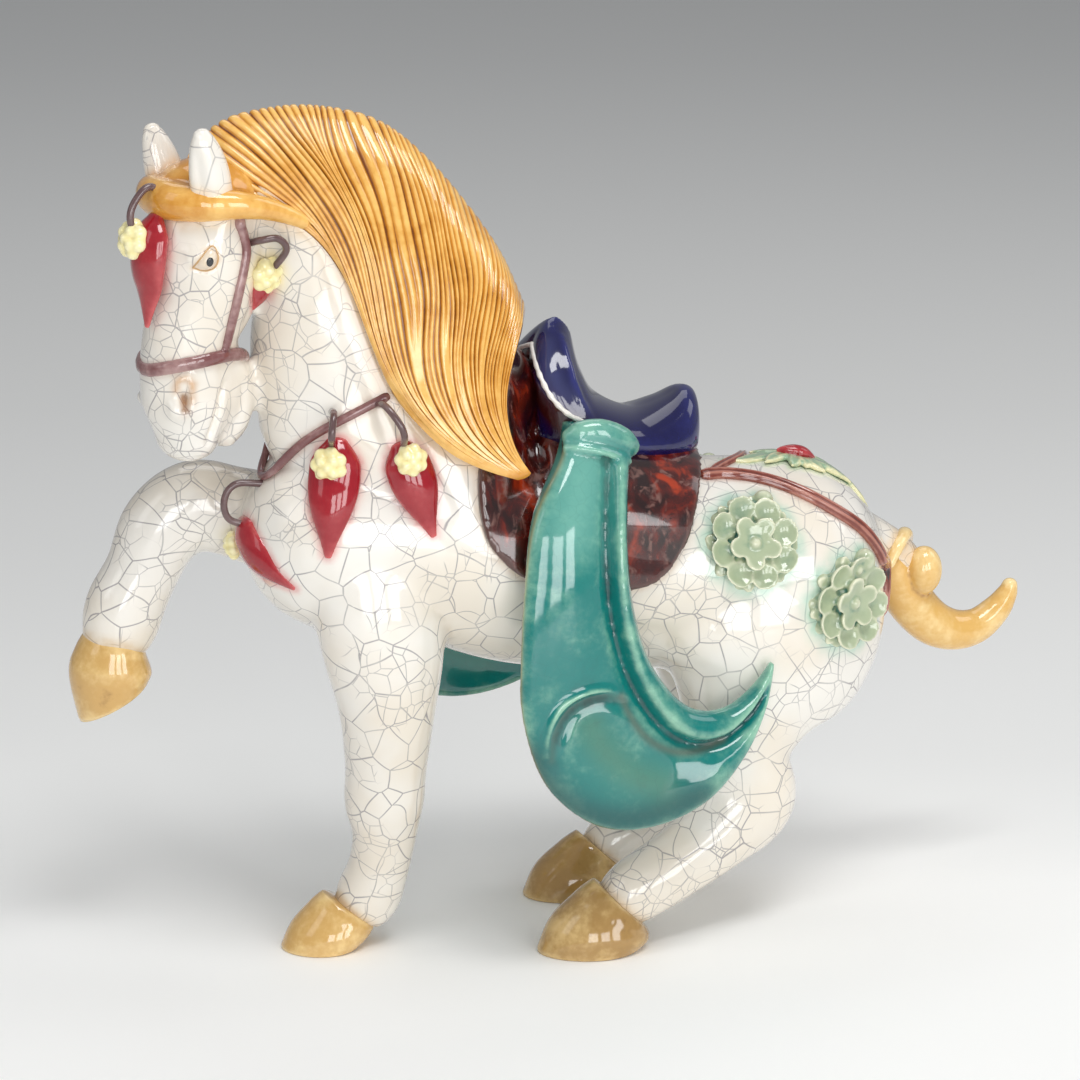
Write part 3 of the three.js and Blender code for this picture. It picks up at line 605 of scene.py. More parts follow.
def over(pixels, count=0, tree=None):
    """Points on the skin behind a line drawn over the picture, rounded off if a count is given"""
    steps = spaced(pixels, count) if count else pixels
    return np.array([seen(px, py, tree)[0] for px, py in steps])


def both_cheeks(path):
    """A path over the near cheek, and its twin over the far one"""
    return [path, across_head(path)]


def mirrored(path):
    return [path, path * [1, -1, 1]]


print("the camera sees the eye at", np.round(seen(210, 262)[0], 1))

# %% [markdown]
# ## Modelling the face
# The eye, nostrils and mouth were pressed into the clay with a tool. The same is done here: grooves
# follow short paths over the skin, on both cheeks, and push the vertices in along their normals.

# %% Eye sockets, nostrils and mouth
EYE_RIM = [
    (193, 268), (201, 258), (208, 249), (213, 246), (217, 252), (218, 261), (214, 268), (205, 271),
    (193, 268),
]
EYE_BALL = [(206, 263), (211, 258)]
NOSTRIL = [(184, 398), (185, 411)]
NOSTRIL_RIM = [(176, 390), (178, 381), (187, 378), (193, 385), (191, 402)]
MOUTH = [(225, 384), (222, 398), (220, 412), (214, 428), (208, 442)]
CHIN = [(240, 372), (244, 388), (243, 404), (238, 420), (232, 432)]
CHEEK = [(232, 330), (246, 322), (252, 306), (250, 290)]
for pixels, width, depth, taper in (
    (EYE_RIM, 0.8, 0.6, False), (EYE_BALL, 1.8, -0.8, False), (NOSTRIL_RIM, 1.6, -0.9, True),
    (NOSTRIL, 1.5, 2.4, False), (MOUTH, 1.3, 2.6, True), (CHIN, 2, 1.2, True), (CHEEK, 3, 0.8, True),
):
    for path in both_cheeks(over(pixels)):
        carve(horse, path, width, depth, taper)
skin_tree = surface(horse)
print("face modelled on", triangles(horse), "triangles")

# %% [markdown]
# ## The mane
# The mane is a thick comb of strands that rise over the crest and gather in one tip on the near
# side. It was cut with a fluting tool: round ridges with sharp grooves between them. Strands of hair
# are easiest to read off the picture, so nine of them are drawn over it. A grid is stretched along
# them, its ridges are pushed out, and it is extruded inward to the middle of the neck.

# %% Guide strands in the picture, from the crest to the tip
MANE_STRANDS = [
    [(176, 165), (214, 192), (262, 209), (308, 230), (340, 268), (357, 303), (384, 378), (404, 411),
     (430, 436), (457, 461), (517, 480)],
    [(214, 121), (248, 148), (279, 178), (311, 210), (334, 243), (358, 302), (386, 376), (433, 434),
     (463, 462), (518.5, 480)],
    [(268, 104), (279, 119), (297, 142), (322, 171), (341, 200), (359, 235), (369, 270), (375, 302),
     (384, 352), (412, 410), (440, 438), (470, 463), (520, 479.6)],
    [(322, 102), (328, 126), (340, 162), (358, 198), (371, 234), (380, 270), (387, 304), (394, 356),
     (418, 410), (450, 440), (480, 463), (522, 479.2)],
    [(376, 116), (384, 137), (398, 162), (408, 198), (414, 234), (418, 270), (422, 306), (419, 356),
     (431, 405), (457, 440), (485, 461), (524, 478.6)],
    [(422, 150), (434, 185), (441, 215), (447, 245), (452, 275), (455, 306), (450, 356), (461, 410),
     (479, 440), (497, 460), (526, 477.8)],
    [(466, 200), (474, 230), (478, 255), (481, 280), (480, 304), (473, 356), (479, 410), (492, 436),
     (505, 457), (528, 476.6)],
    [(500, 250), (506, 270), (509, 288), (508, 310), (499, 350), (494, 384), (497, 412), (504, 436),
     (516, 460), (530, 475)],
    [(526, 304), (522, 330), (515, 356), (509, 382), (507, 408), (511, 436), (520, 458), (531, 473)],
]
NECK_HALF_WIDTH = [
    [162, 40.5], [168, 39.2], [178, 35.6], [191, 30.8], [207, 26], [223, 23], [235, 21.4], [250, 19],
    [280, 15],
]
STRANDS = 48
STRAND_DEEP = 1.5
FAR_REACH = 0.36
DOWN_POWER = 1.3
CREST_ROUND = 0.13


def even(points, count):
    """The same line with its points at equal distances"""
    points = np.array(points, float)
    along = np.insert(np.cumsum(np.linalg.norm(np.diff(points, axis=0), axis=1)), 0, 0)
    share = np.interp(np.linspace(0, 1, count), along / along[-1], np.linspace(0, 1, len(points)))
    return glide(points, share)


def mane_sheet(rows, columns):
    """Grid over the crest: from the far side's hem, over the top, to the near tip"""
    down = np.linspace(-FAR_REACH ** (1 / DOWN_POWER), 1, rows)
    s = np.abs(down) ** DOWN_POWER
    v = np.linspace(0, 1, columns)[:, None] + 0 * s
    wander = 0.5 * np.sin(9 * v + 5 * s) + 0.3 * np.sin(23 * v + 2) + 0.25 * np.sin(15 * s + 40 * v)
    across = np.clip(v + wander * np.sin(math.pi * v) ** 0.4 / STRANDS, 0, 1)
    strands = np.array([glide(even(strand, 14), s) for strand in MANE_STRANDS])
    pixels = np.stack([glide(strands[:, j], across[:, j]) for j in range(rows)], axis=1)
    heights, widths = np.array(NECK_HALF_WIDTH).T
    y = np.full(s.shape, -20.0) + 0 * v
    for _ in range(4):
        sheet = through(pixels[..., 0], pixels[..., 1], y)
        swell = 4.5 * np.sin(math.pi * v) * np.sin(math.pi * s)
        full = np.interp(sheet[..., 2], heights, widths) + swell
        y = -full * (1 - np.exp(-s / CREST_ROUND)) / (1 - math.exp(-1 / CREST_ROUND))
    sheet[..., 1] *= np.where(down < 0, -1, 1)
    relax(sheet.swapaxes(0, 1), 14)
    return sheet, s + 0 * v, v, np.where(down < 0, 1, -1) + 0 * v


print(len(MANE_STRANDS), "strands drawn,", STRANDS, "to be cut")

# %% Cut the strands and close the mane
sheet, s, v, side = mane_sheet(100, STRANDS * 7 + 1)
out = unit(np.cross(np.gradient(sheet, axis=1), np.gradient(sheet, axis=0)))
out *= np.sign((out * (sheet - [-60, 0, 215])).sum(-1).mean())
cut_number = np.round(STRANDS * v)
off_cut = np.abs(STRANDS * v - cut_number)
main_cut = cut_number % 3 == 0
fading = 0.55 + 0.45 * np.sin(7.3 * cut_number + 7 * s + 2 * np.sin(cut_number))
stops = 0.5 + 0.16 * np.sin(5.1 * cut_number)
cut_deep = np.where(main_cut, 1.2, (0.4 + 0.6 * fading) * (1 - step_up(s, stops, stops + 0.22)))
apart = np.linalg.norm(np.gradient(sheet, axis=0), axis=-1) * 7
cut_deep = cut_deep * step_up(apart, 0.2, 1.9 - 1.2 * main_cut)
ridge = 1 - cut_deep * (1 - np.sin(math.pi * off_cut) ** 0.6)
hem = step_up(v, 0, 0.015) * step_up(1 - v, 0, 0.015) * step_up(1 - s, 0.0, 0.04)
deep = STRAND_DEEP * hem * (0.6 + 0.4 * step_up(s, 0.02, 0.16)) * np.minimum(1, 0.25 + apart / 2.6)
front = sheet + out * (deep * (ridge - 0.55))[..., None]
back = np.stack([
    -60 + (sheet[..., 0] + 60) * 0.95, side * 0.3, 200 + (sheet[..., 2] - 200) * 0.95,
], axis=-1)
on_crest = bump_of(s, 0.05, 0.1)
tones = 0.68 - 0.42 * ridge + 0.6 * cut_deep * bump_of(off_cut, 0, 0.12) - 0.08 * on_crest
tones = tones + 0.35 * step_up(s, 0.95, 1)
mane = slab("mane", front, back, np.clip(tones, 0, 1))
print("mane has", triangles(mane), "triangles")

# %% Forelock: a roll across the brow and the crown between the ears
HALF_FORELOCK = np.array([
    [-82, -20.6, 241, 1.4, 1.8], [-89, -20.4, 245.4, 2.4, 2.8], [-98, -19.8, 249, 3.2, 3.6],
    [-107, -18.6, 251, 4, 4.4], [-117, -14.6, 251.6, 4.8, 5.4], [-124.4, -6, 252.2, 5.2, 6.2],
])
forelock_rows = np.vstack([HALF_FORELOCK, HALF_FORELOCK[::-1] * [1, -1, 1, 1, 1]])
band = roll("band", turned(rings(forelock_rows, 32, 90, side=(0, 0, 1))))
crown = ball("crown", [-109, 0, 252], [17, 16.5, 11.5], 48, 28)
move_to(crown, metres(turned(drawn(points_of(crown)))))
forelock = fuse(weld("forelock", [band, crown]), 0.9, 12)
print("forelock has", triangles(forelock), "triangles")

# %% Ears: two leaves with a hollow front
EAR = [
    [-113, 13, 246, 5.4, 4.6], [-114.2, 14, 253, 6.6, 5], [-115.6, 15, 260, 6.7, 4.8],
    [-117, 15.8, 266, 5.8, 4.2], [-118.2, 16.2, 271, 4.2, 3.2], [-118.8, 16.4, 273.4, 2.8, 2.2],
]
FAR_EAR_LOWER = 3
ear_pieces = []
for side in (-1, 1):
    rows = np.array(EAR) * [1, side, 1, 1, 1] - [0, 0, FAR_EAR_LOWER * (side > 0), 0, 0]
    ear = fuse(roll("ear", turned(rings(rows, 32, 40, (0, 0.9)))), 0.7, 2)
    carve(ear, turned(rows[1:5, :3] + [-5.4, side * 3.4, 0]), 2.8, 1.3)
    ear_pieces.append(ear)
ears = weld("ears", ear_pieces)
print("ears have", triangles(ears), "triangles")

# %% [markdown]
# ## Hooves and tail
# Hooves and tail carry honey glazes, a little paler than the mane's. A hoof is three rings: sole,
# belly and a slanted coronet, with the slight bulge that a hoof has under the hair. The tail is a
# hook with a knot tied round its root.

# %% Hooves
HOOVES = {
    "hoof_fore": [
        [-76.4, -0.6, 0, -12.9, 0.4, 0, 12.4], [-72.4, -0.9, 6, -11.9, 0.4, 2.6, 12.2],
        [-67, -1.4, 12, -8.6, 0.4, 6, 10],
    ],
    "hoof_raised": [
        [-137, 25, 83, -11.6, 0, -6.4, 11], [-137.9, 25, 93.5, -12.7, 0, 0.6, 12.2],
        [-137, 25, 104, -9.2, 0, 1.8, 10.2],
    ],
    "hoof_near": [
        [6.8, -30, 0, -17.3, 1, 0, 13.4], [11, -30.2, 7, -15.2, 0.9, 4.4, 13.2],
        [17.6, -30.4, 14, -9.2, 0.8, 9, 10.8],
    ],
    "hoof_far": [
        [17.2, 20, 0, -16.8, 0, 0, 13.2], [21.4, 20, 6.4, -14.6, 0, 4.2, 12.8],
        [28.4, 20, 12.6, -9, 0, 8.2, 10.6],
    ],
}


def hoof(name, rows):
    """Sole, belly and coronet as rings; each row has the vector to the toe and the side half"""
    t = np.concatenate([[0, 0, 0], np.linspace(0, 1, 24), [1, 1, 1]])
    shrink = np.array([0.5, 0.9, 0.96] + [0.985] + [1] * 22 + [0.985] + [0.94, 0.84, 0.6])
    rise = np.concatenate([np.zeros(27), [0.5, 0.9, 1.2]])
    row = glide(rows, t)
    grow = shrink * (1 + 0.05 * np.sin(math.pi * t)) * (1 + 0.02 * bump_of(t, 0.86, 0.08))
    q = turns(56)
    toe = np.cos(q)
    aside = np.sin(q) * (1 - 0.12 * toe)
    x, y, z, ax, ay, az, half = [row[:, k, None] for k in range(7)]
    grow, turn = grow[:, None], np.hypot(ax, ay)
    made = np.stack([
        x + (ax * toe - ay / turn * half * aside) * grow,
        y + (ay * toe + ax / turn * half * aside) * grow,
        z + az * toe * grow + rise[:, None],
    ], axis=-1)
    if rows[0][2] == 0:
        made[..., 2] = np.maximum(made[..., 2], 0)
        made[0, :, 2] = 0.02
    return roll(name, made)


hooves = [hoof(name, rows) for name, rows in HOOVES.items()]
print("hooves", [triangles(h) for h in hooves])

# %% Tail and its knot
TAIL = [
    [121, 0, 115, 8.3, 9], [126.5, 0, 106.5, 8.6, 9], [132.4, 0, 97, 8.2, 8.8],
    [139.8, 0, 89.6, 7.8, 8], [148.2, 0, 86.2, 7, 7], [156.6, 0, 87, 6, 6],
    [163.7, 0, 92.2, 4.9, 4.9], [167.4, 0, 97.4, 3.6, 3.6], [168.3, 0, 100, 2.8, 2.8],
]
KNOT_BAND = [
    [119, -10.4, 115, 1.8, 2.2], [123, -8, 120.4, 2.2, 2.6], [128.6, -1, 122.2, 2.3, 2.8],
    [132, 5.6, 117.6, 2, 2.4], [132, 9, 112, 1.8, 2],
]
hook = roll("hook", rings(TAIL, 40, 90, (0.4, 1)))
knot = ball("knot", [133.2, -6.8, 110.6], [6.2, 6.2, 8.4], 40, 24)
wrap = roll("wrap", rings(KNOT_BAND, 20, 30))
tail = fuse(weld("tail", [hook, knot, wrap]), 0.7, 3)
print("tail has", triangles(tail), "triangles")

# %% [markdown]
# ## The saddle
# A high pommel, a deep seat and a raised cantle, arched over the back. It is one sheet from the far
# skirt over the seat to the near skirt, filled down into the back, then melted a little so its rims
# turn as round as the cast ones.

# %% Saddle
SEAT_TOP = [
    [-3.6, 191], [-0.8, 200], [5, 205.2], [10, 200.4], [12.6, 189.6], [18, 180], [31, 173.6],
    [42, 176], [48.6, 179.4], [52.6, 177.4], [53.4, 171], [51, 162],
]
SEAT_EDGE = [
    [-5.6, 189.6, 8], [-6, 187.6, 15], [-3.8, 184, 18.8], [0, 179.6, 21.2], [6, 174, 22.8],
    [14, 168.6, 22.6], [26, 165, 20.8], [38, 163.4, 19], [45.6, 162.6, 16], [49.6, 162, 12.4],
    [50.4, 161, 10], [49.4, 159, 8],
]
SADDLE_RIDGE = [(562, 336), (567, 358), (573, 380), (581, 400), (592, 419)]
SADDLE_EDGE = [(532, 344), (535, 360), (541, 378), (552, 398), (568, 414), (588, 424)]
SKIRT = [(541, 346), (549, 372), (562, 394), (580, 410)]
SKIRT_FRONT = [(526, 358), (529, 372), (534, 388), (544, 405), (559, 420), (576, 431)]
SADDLE_MIDDLE = 12
SADDLE_DEPTH = 150


def saddle_sheets(rows=90, columns=61):
    """Upper side of the seat and skirts, and the clay under it that goes into the back"""
    t = np.linspace(0, 1, rows)
    top, foot = glide(SEAT_TOP, t)[:, None, :], glide(SEAT_EDGE, t)[:, None, :]
    w = np.linspace(-1, 1, columns)[None, :]
    x = top[..., 0] + (foot[..., 0] - top[..., 0]) * abs(w)
    pinch = 1 + 1.3 * bump_of(t, 0.13, 0.12)[:, None]
    y = foot[..., 2] * np.sign(w) * np.abs(np.sin(w * math.pi / 2)) ** pinch
    z = foot[..., 1] + (top[..., 1] - foot[..., 1]) * np.cos(w * math.pi / 2)
    deep = [SADDLE_MIDDLE + (x - SADDLE_MIDDLE) * 0.7, y * 0.55, SADDLE_DEPTH - 8 * abs(w) + 0 * x]
    return np.stack([x, y, z], axis=-1), np.stack(deep, axis=-1)


saddle = fuse(slab("saddle", *saddle_sheets()), 0.85, 7)
saddle_tree = surface(saddle)
ridge_line = over(SADDLE_RIDGE, tree=saddle_tree)
carve(saddle, ridge_line, 1.5, -0.9)
carve(saddle, ridge_line + [-3.2, 0, -1.2], 2.2, 0.7)
print("saddle has", triangles(saddle), "triangles")

# %% [markdown]
# ## The saddle cloth
# The oxblood cloth is only a thickness of clay laid over the back. The trunk and neck are grown by
# that thickness, cut to the cloth's outline with a plate, and the cut edge is softened.

# %% Saddle cloth
CLOTH_PROUD = 2.4
PLATE_HALF = 62
CLOTH = [
    [-14, 205], [-19, 186], [-27, 172], [-30.4, 160], [-29.4, 145], [-25, 137], [-17.6, 130.4],
    [-6, 126.4], [8, 124], [20, 122.6], [30, 126], [37, 134.6], [41, 146], [46.6, 156],
    [53.4, 161], [57, 170], [57, 205],
]
PAD = [
    [-8, 0, 146, 27, 34], [8, 0, 143, 27.5, 36.8], [28, 0, 141, 24.6, 37.4], [42, 0, 140, 23.6, 36.6],
    [51, 0, 139, 20.5, 34.5],
]


def grown(rows):
    return np.array(rows) + [0, 0, 0, CLOTH_PROUD, CLOTH_PROUD]


under = [
    roll("grown", rings(grown(TRUNK), 64, 70)),
    roll("collar", rings(grown(NECK)[:5], 64, 50, (0, 0))),
    ball("hump", [-27, 0, 180], [24 + CLOTH_PROUD, 17 + CLOTH_PROUD, 22 + CLOTH_PROUD]),
    roll("pad", rings(PAD, 56, 40, (0, 0))),
]
saddle_cloth = fuse(weld("saddle_cloth", under), 1.5, 8)
outline = spaced(CLOTH, 120)
plate = roll("plate", np.array([[[x, y, z] for x, z in outline] for y in (-PLATE_HALF, PLATE_HALF)]))
apply(saddle_cloth, "BOOLEAN", operation="INTERSECT", object=plate)
bpy.data.objects.remove(plate)
fuse(saddle_cloth, 0.95, 5)
print("saddle cloth has", triangles(saddle_cloth), "triangles")

# %% [markdown]
# ## The hanging cloths
# From under the saddle hangs a long turquoise cloth that sweeps back into a horn. It has a flat
# panel, a deep groove, a rolled hem along the inner side and a curled lip in its bowl. The grid
# runs down the cloth between its left and right edges, with the groove and the hem in it. The lip
# and the bowl are carved afterwards, along lines that the camera throws on the cloth.

# %% Shape of a hanging cloth
FLAP_LEFT = [
    [1, 176, -28], [-4.6, 166.5, -35], [-15.4, 151, -42.5], [-19.8, 132, -46], [-22, 110, -48.5],
    [-22.2, 88, -50.5], [-15, 65.6, -52], [1, 51, -53], [20, 48, -53], [38.6, 54, -52],
    [52.6, 67, -49.5], [61.4, 82, -46], [65.6, 95, -42.6],
]
FLAP_RIGHT = [
    [18.6, 174, -26.5], [18.8, 166, -32.5], [16, 154, -39.5], [14.4, 139, -44.5], [15.4, 122, -46.8],
    [19.8, 105, -48], [26.6, 93.4, -49], [33.6, 86.6, -49.4], [41, 84, -48.6], [48.6, 84.6, -47],
    [55.4, 88, -45], [61, 92.6, -43.4], [64.4, 96.6, -42.2],
]
HEM_WIDE = [7.6, 8, 7.6, 7.6, 8, 8.6, 9.6, 10.6, 11.4, 10.4, 8, 5, 1.5]
FLAP_THICK = 6.5
CLOTH_TOP = 176
FAR_SHORTER = 0.89
FAR_FORWARD = 26


def flap_sheets(rows=170, columns=90):
    """Front and back of the near cloth, with the broad swell of its panel and the roll of its hem"""
    t = np.linspace(0, 1, rows)
    left, right = glide(FLAP_LEFT, t)[:, None, :], glide(FLAP_RIGHT, t)[:, None, :]
    u = (0.5 - 0.5 * np.cos(np.linspace(0, math.pi, columns)))[None, :]
    mid = left + (right - left) * u[..., None]
    width = np.linalg.norm((right - left)[..., :2], axis=-1)
    hem = glide(np.array(HEM_WIDE)[:, None], t)
    spread = (np.minimum(1, t * 5) * np.minimum(1, (1 - t) * 4))[:, None]
    split = 1 - np.minimum(0.5, hem / np.maximum(width, 1e-3))
    panel = np.clip(u / split, 0, 1)
    roll_share = np.clip((u - split) / (1 - split), 0, 1)
    edge = np.minimum(1, width * np.minimum(u, 1 - u) / 3.4)
    soft = np.sqrt(np.maximum(0, 1 - (1 - edge) ** 2))
    swell = 3.2 * np.sin(math.pi * panel) * spread
    hem_roll = 3.6 * np.sin(math.pi * roll_share) ** 0.8 * (0.35 + 0.65 * spread)
    from_split = (u - split) * width
    reach = step_up(t, 0.03, 0.1)[:, None] * (1 - step_up(t, 0.86, 0.98))[:, None]
    trough = 2 * bump_of(from_split, 0, 2) - 0.5 * bump_of(from_split, 3.6, 1.4)
    lift = FLAP_THICK * 0.34 * soft + swell + hem_roll - trough * reach
    fill = 8 * np.maximum(0, 1 - t / 0.26)[:, None]
    sink = FLAP_THICK * 0.42 * soft - 0.5 * swell + fill
    front = np.stack([mid[..., 0], mid[..., 2] - lift, mid[..., 1]], axis=-1)
    back = np.stack([mid[..., 0], mid[..., 2] + sink, mid[..., 1]], axis=-1)
    return front, back


print("near cloth runs from", FLAP_LEFT[0], "to", FLAP_LEFT[-1])

# %% Cap and bead under the saddle, and lines drawn over the cloth in the picture
CAP = [
    [-0.6, -31, 172.6, 2.4, 3.4], [3.4, -32.2, 174, 3.6, 4.6], [10, -32.8, 173.6, 3.9, 5],
    [16.6, -32.2, 170.8, 3.8, 4.6], [20.6, -30.6, 168, 2.6, 3.4],
]
BEAD = [
    [-3.2, -33.4, 170.4, 0.8, 1], [1, -36.2, 170.6, 1, 1.2], [8, -37.3, 169.2, 1.1, 1.3],
    [14.6, -36.4, 166.6, 1, 1.2], [19, -34, 164.4, 0.8, 1],
]
LIP = [(622, 697), (606, 692), (586, 695), (568, 704), (556, 718), (549, 736), (547, 756)]
BOWL = [(592, 728), (606, 750), (632, 774), (664, 786)]
HEM_SHADE = [(622, 697), (634, 722), (652, 742), (676, 752), (700, 750), (722, 740)]
POOL = [(532, 756), (552, 790), (584, 812), (624, 820), (664, 812), (700, 796)]
CLOTH_CREST = [(585, 450), (580, 490), (572, 530)]


def to_far(points):
    """The hidden side's cloth hangs shorter and further forward"""
    x, y, z = np.moveaxis(np.asarray(points, float), -1, 0)
    drop = CLOTH_TOP - z
    return np.stack([
        x - FAR_FORWARD * np.clip(drop / 60, None, 1), -y, CLOTH_TOP - drop * FAR_SHORTER,
    ], axis=-1)


def hanging_cloth(name, place):
    """One cloth: sheet, cap and bead melted together"""
    front, back = flap_sheets()
    parts = [slab(name, place(front), place(back))]
    for part, rows, around in (("cap", CAP, 24), ("bead", BEAD, 20)):
        parts.append(roll(part, place(rings(rows, around, 40, side=(0, 0, 1)))))
    return fuse(weld(name, parts), 0.78, 10)


def carve_cloth(cloth, place):
    """Lip and bowl, pressed with a round tool"""
    carve(cloth, place(lip), 1.6, -1.3)
    carve(cloth, place(lip + [2.8, 0, -2.8]), 2.8, 1.2)
    carve(cloth, place(bowl), 9, 1.6, taper=False)


def as_drawn(points):
    return points


# %% Both cloths, with lip and bowl
cloth_near = hanging_cloth("cloth_near", as_drawn)
cloth_far = hanging_cloth("cloth_far", to_far)
cloth_tree = surface(cloth_near)
lip, bowl, hem_shade, pool, crest_of_cloth = (
    over(pixels, count, cloth_tree)
    for pixels, count in ((LIP, 40), (BOWL, 12), (HEM_SHADE, 20), (POOL, 20), (CLOTH_CREST, 10))
)
left_edge = glide(np.array(FLAP_LEFT)[:, [0, 2, 1]], np.linspace(0.06, 0.5, 40))
carve_cloth(cloth_near, as_drawn)
carve_cloth(cloth_far, to_far)
print("hanging cloths have", triangles(cloth_near), "and", triangles(cloth_far), "triangles")

# %% [markdown]
# ## The harness
# Bridle, noseband, breast strap and cruppers are thin rolls of clay pressed on to the skin. Each is
# a flattened tube along points that rays find on the body, so it follows every swell beneath it.
# A thin white line of glaze along the front of the saddle is laid in the same way.

# %% Straps laid on the skin
SUNK = 0.2


def lay(places, wide, proud, name="strap", ribs=0):
    """Strap along seated points: a flattened tube whose broad side lies on the skin"""
    at = np.array([p + n * (proud * 0.35 - SUNK) for p, n in places])
    facing = np.array([n for _, n in places])
    side = unit(np.cross(facing, unit(np.gradient(at, axis=0))))
    size = np.tile([proud, wide / 2], (len(at), 1))
    size[[0, -1]] *= 0.8

    def ribbed(q):
        return 1 + 0.17 * np.abs(np.cos(q)) * np.cos(ribs * 2 * (q - math.pi / 2))

    rows = np.hstack([at, size, side])
    return roll(name, rings(rows, 28, 5 * len(at), (0.6, 0.6), section=ribbed if ribs else None))


def turned_side(x, z, side):
    """Where a sideways ray meets the turned head"""
    return seat(*turned([[x, side * 60, z], [x, 0, z]]))


BRIDLE = [
    (240, 224), (244, 238), (246, 252), (243, 272), (239, 290), (235, 308), (230, 328), (224, 352),
]
BREAST = [
    (388, 396), (372, 404), (352, 415), (333, 424), (310, 437), (290, 450), (273, 465), (260, 477),
]
CRUPPER = [
    (702, 476), (725, 475), (758, 479), (791, 489), (824, 505), (857, 526), (874, 546), (884, 566),
]
FAR_CRUPPER = [(712, 471), (725, 464), (737, 459), (748, 456)]
TO_CLOTH = [[-58, 38, 187], [-48, 37, 183], [-38, 35, 178], [-30, 33, 173]]
FRONT_SEATS = [(-5, 156.6), (0, 155), (5, 156.6)]
DOCK_SEATS = [(-16, 101), (-9, 98), (-2, 96)]
BAND_HEIGHT, BAND_RISE = 198.6, 5
HEAD_AXIS = -112
CHEEK_TO_NECK = 16


def on_body(points):
    """The nearest places on the skin, each with its outward direction"""
    places = [skin_tree.find_nearest(Vector(metres(p)))[:2] for p in points]
    return [(drawn(at), np.array(out)) for at, out in places]


# %% Bridle and noseband
bridle_paths = both_cheeks(over(BRIDLE, 20))
bridle = [lay(on_body(path), 3.4, 1.3, "bridle") for path in bridle_paths]
bridle += [ball("knob", path[0], [1.9, 1.9, 2.6], 20, 12) for path in bridle_paths]
band_seats = []
for q in turns(40):
    height = BAND_HEIGHT + BAND_RISE * abs(math.sin(q)) ** 0.8
    far = min(60, CHEEK_TO_NECK / max(-math.cos(q), 0.01))
    band_seats.append(seat(*turned([
        [HEAD_AXIS - far * math.cos(q), far * math.sin(q), height], [HEAD_AXIS, 0, height],
    ])))
band_at, band_out = (np.array(row) for row in zip(*band_seats))
for _ in range(3):
    band_at = (np.roll(band_at, 1, 0) + band_at * 2 + np.roll(band_at, -1, 0)) / 4
band_at = band_at + band_out * 0.5
band_run = unit(np.roll(band_at, -1, 0) - np.roll(band_at, 1, 0))
band_side = unit(np.cross(band_out, band_run))
q = turns(24)
band_loops = [
    at + np.outer(np.cos(q) * 1.5, out) + np.outer(np.sin(q) * 2.2, beside)
    for at, out, beside in zip(band_at, band_out, band_side)
]
band_loops = metres(np.array([*band_loops, band_loops[0]])[:, [*range(len(q)), 0]])
noseband = edit(grid("noseband", band_loops), merge)
bridle_all = fuse(weld("bridle", [*bridle[:2], noseband, *bridle[2:]]), 0.5, 2)
print("bridle has", triangles(bridle_all), "triangles")

# %% Breast strap, cruppers and the white line along the saddle
near_half = over(BREAST, 16)
near_half = near_half[near_half[:, 1] < -11]
front = np.array([seat([-160, y, z], [-60, y, z])[0] for y, z in FRONT_SEATS])
whole = np.vstack([near_half, front, near_half[::-1] * [1, -1, 1], TO_CLOTH])
whole = spaced(whole, 84)
relax(whole, 30)
seats = [
    (at + out * 0.75 * max(0, (p - at) @ out), out) for p, (at, out) in zip(whole, on_body(whole))
]
breast_strap = lay(seats, 2.9, 1.2, "breast_strap")
to_dock = np.array([seat([200, y, z], [60, y, z])[0] for y, z in DOCK_SEATS])
crupper_near = spaced(np.vstack([over(CRUPPER, 26), to_dock]), 40)
crupper_far = np.vstack([over(FAR_CRUPPER, 8), (crupper_near * [1, -1, 1])[13:]])
crupper_far = spaced(crupper_far, 46)
relax(crupper_far, 10)
cruppers = weld("cruppers", [
    lay(on_body(crupper_near), 4.6, 1.9, ribs=3), lay(on_body(crupper_far), 3.2, 1.3, ribs=3),
])
edges = []
for path in mirrored(over(SADDLE_EDGE, 20, saddle_tree)):
    thick = 0.85 + 0.15 * np.array([math.sin(3 * i) for i in range(len(path))])
    edges.append(roll("edge", rings(np.column_stack([path, thick, thick]), 14, 80)))
saddle_edge = weld("saddle_edge", edges)
print("breast strap and cruppers have", triangles(breast_strap), triangles(cruppers), "triangles")

# %% [markdown]
# ## Pendants and florets
# Red drops hang on the chest, brow and cheeks, each with a pale lumpy floret at its head. A drop is
# a tube that swells and ends in a point, flat against the skin and creased down its middle. A
# floret is a cluster of small balls, melted together.

# %% Drops and florets
DROP = [0.42, 0.9, 1, 0.98, 0.84, 0.6, 0.34, 0.14]


def spin(one, other, angle):
    """Direction between two that are square to each other"""
    return one * math.cos(angle) + other * math.sin(angle)


def off(place, height):
    """A seated point lifted off the skin, still with its direction"""
    return place[0] + place[1] * height, place[1]


def drop(top, tip, wide, proud=0.5, lift=0.0):
    """Pendant between two seated points, lying on the skin between them"""
    steps = np.linspace(0, 1, 12)
    facing = unit(top[1] + tip[1])
    rows = []
    run = tip[0] - top[0]
    side = unit(np.cross(run, facing))
    for s, w in zip(steps, glide(np.array(DROP)[:, None], steps)[:, 0]):
        at = top[0] + run * s
        on_skin, _ = seat(at + facing * 14, at - facing * 6)
        at = (at + on_skin) / 2 + facing * (lift + 0.9 * math.sin(math.pi * s))
        rows.append([*at, w * wide * proud, w * wide, *side])

    def creased(q):
        return 0.94 + 0.16 * np.abs(np.cos(q)) ** 5

    return roll("drop", rings(rows, 40, 50, (0.7, 0.3), section=creased))


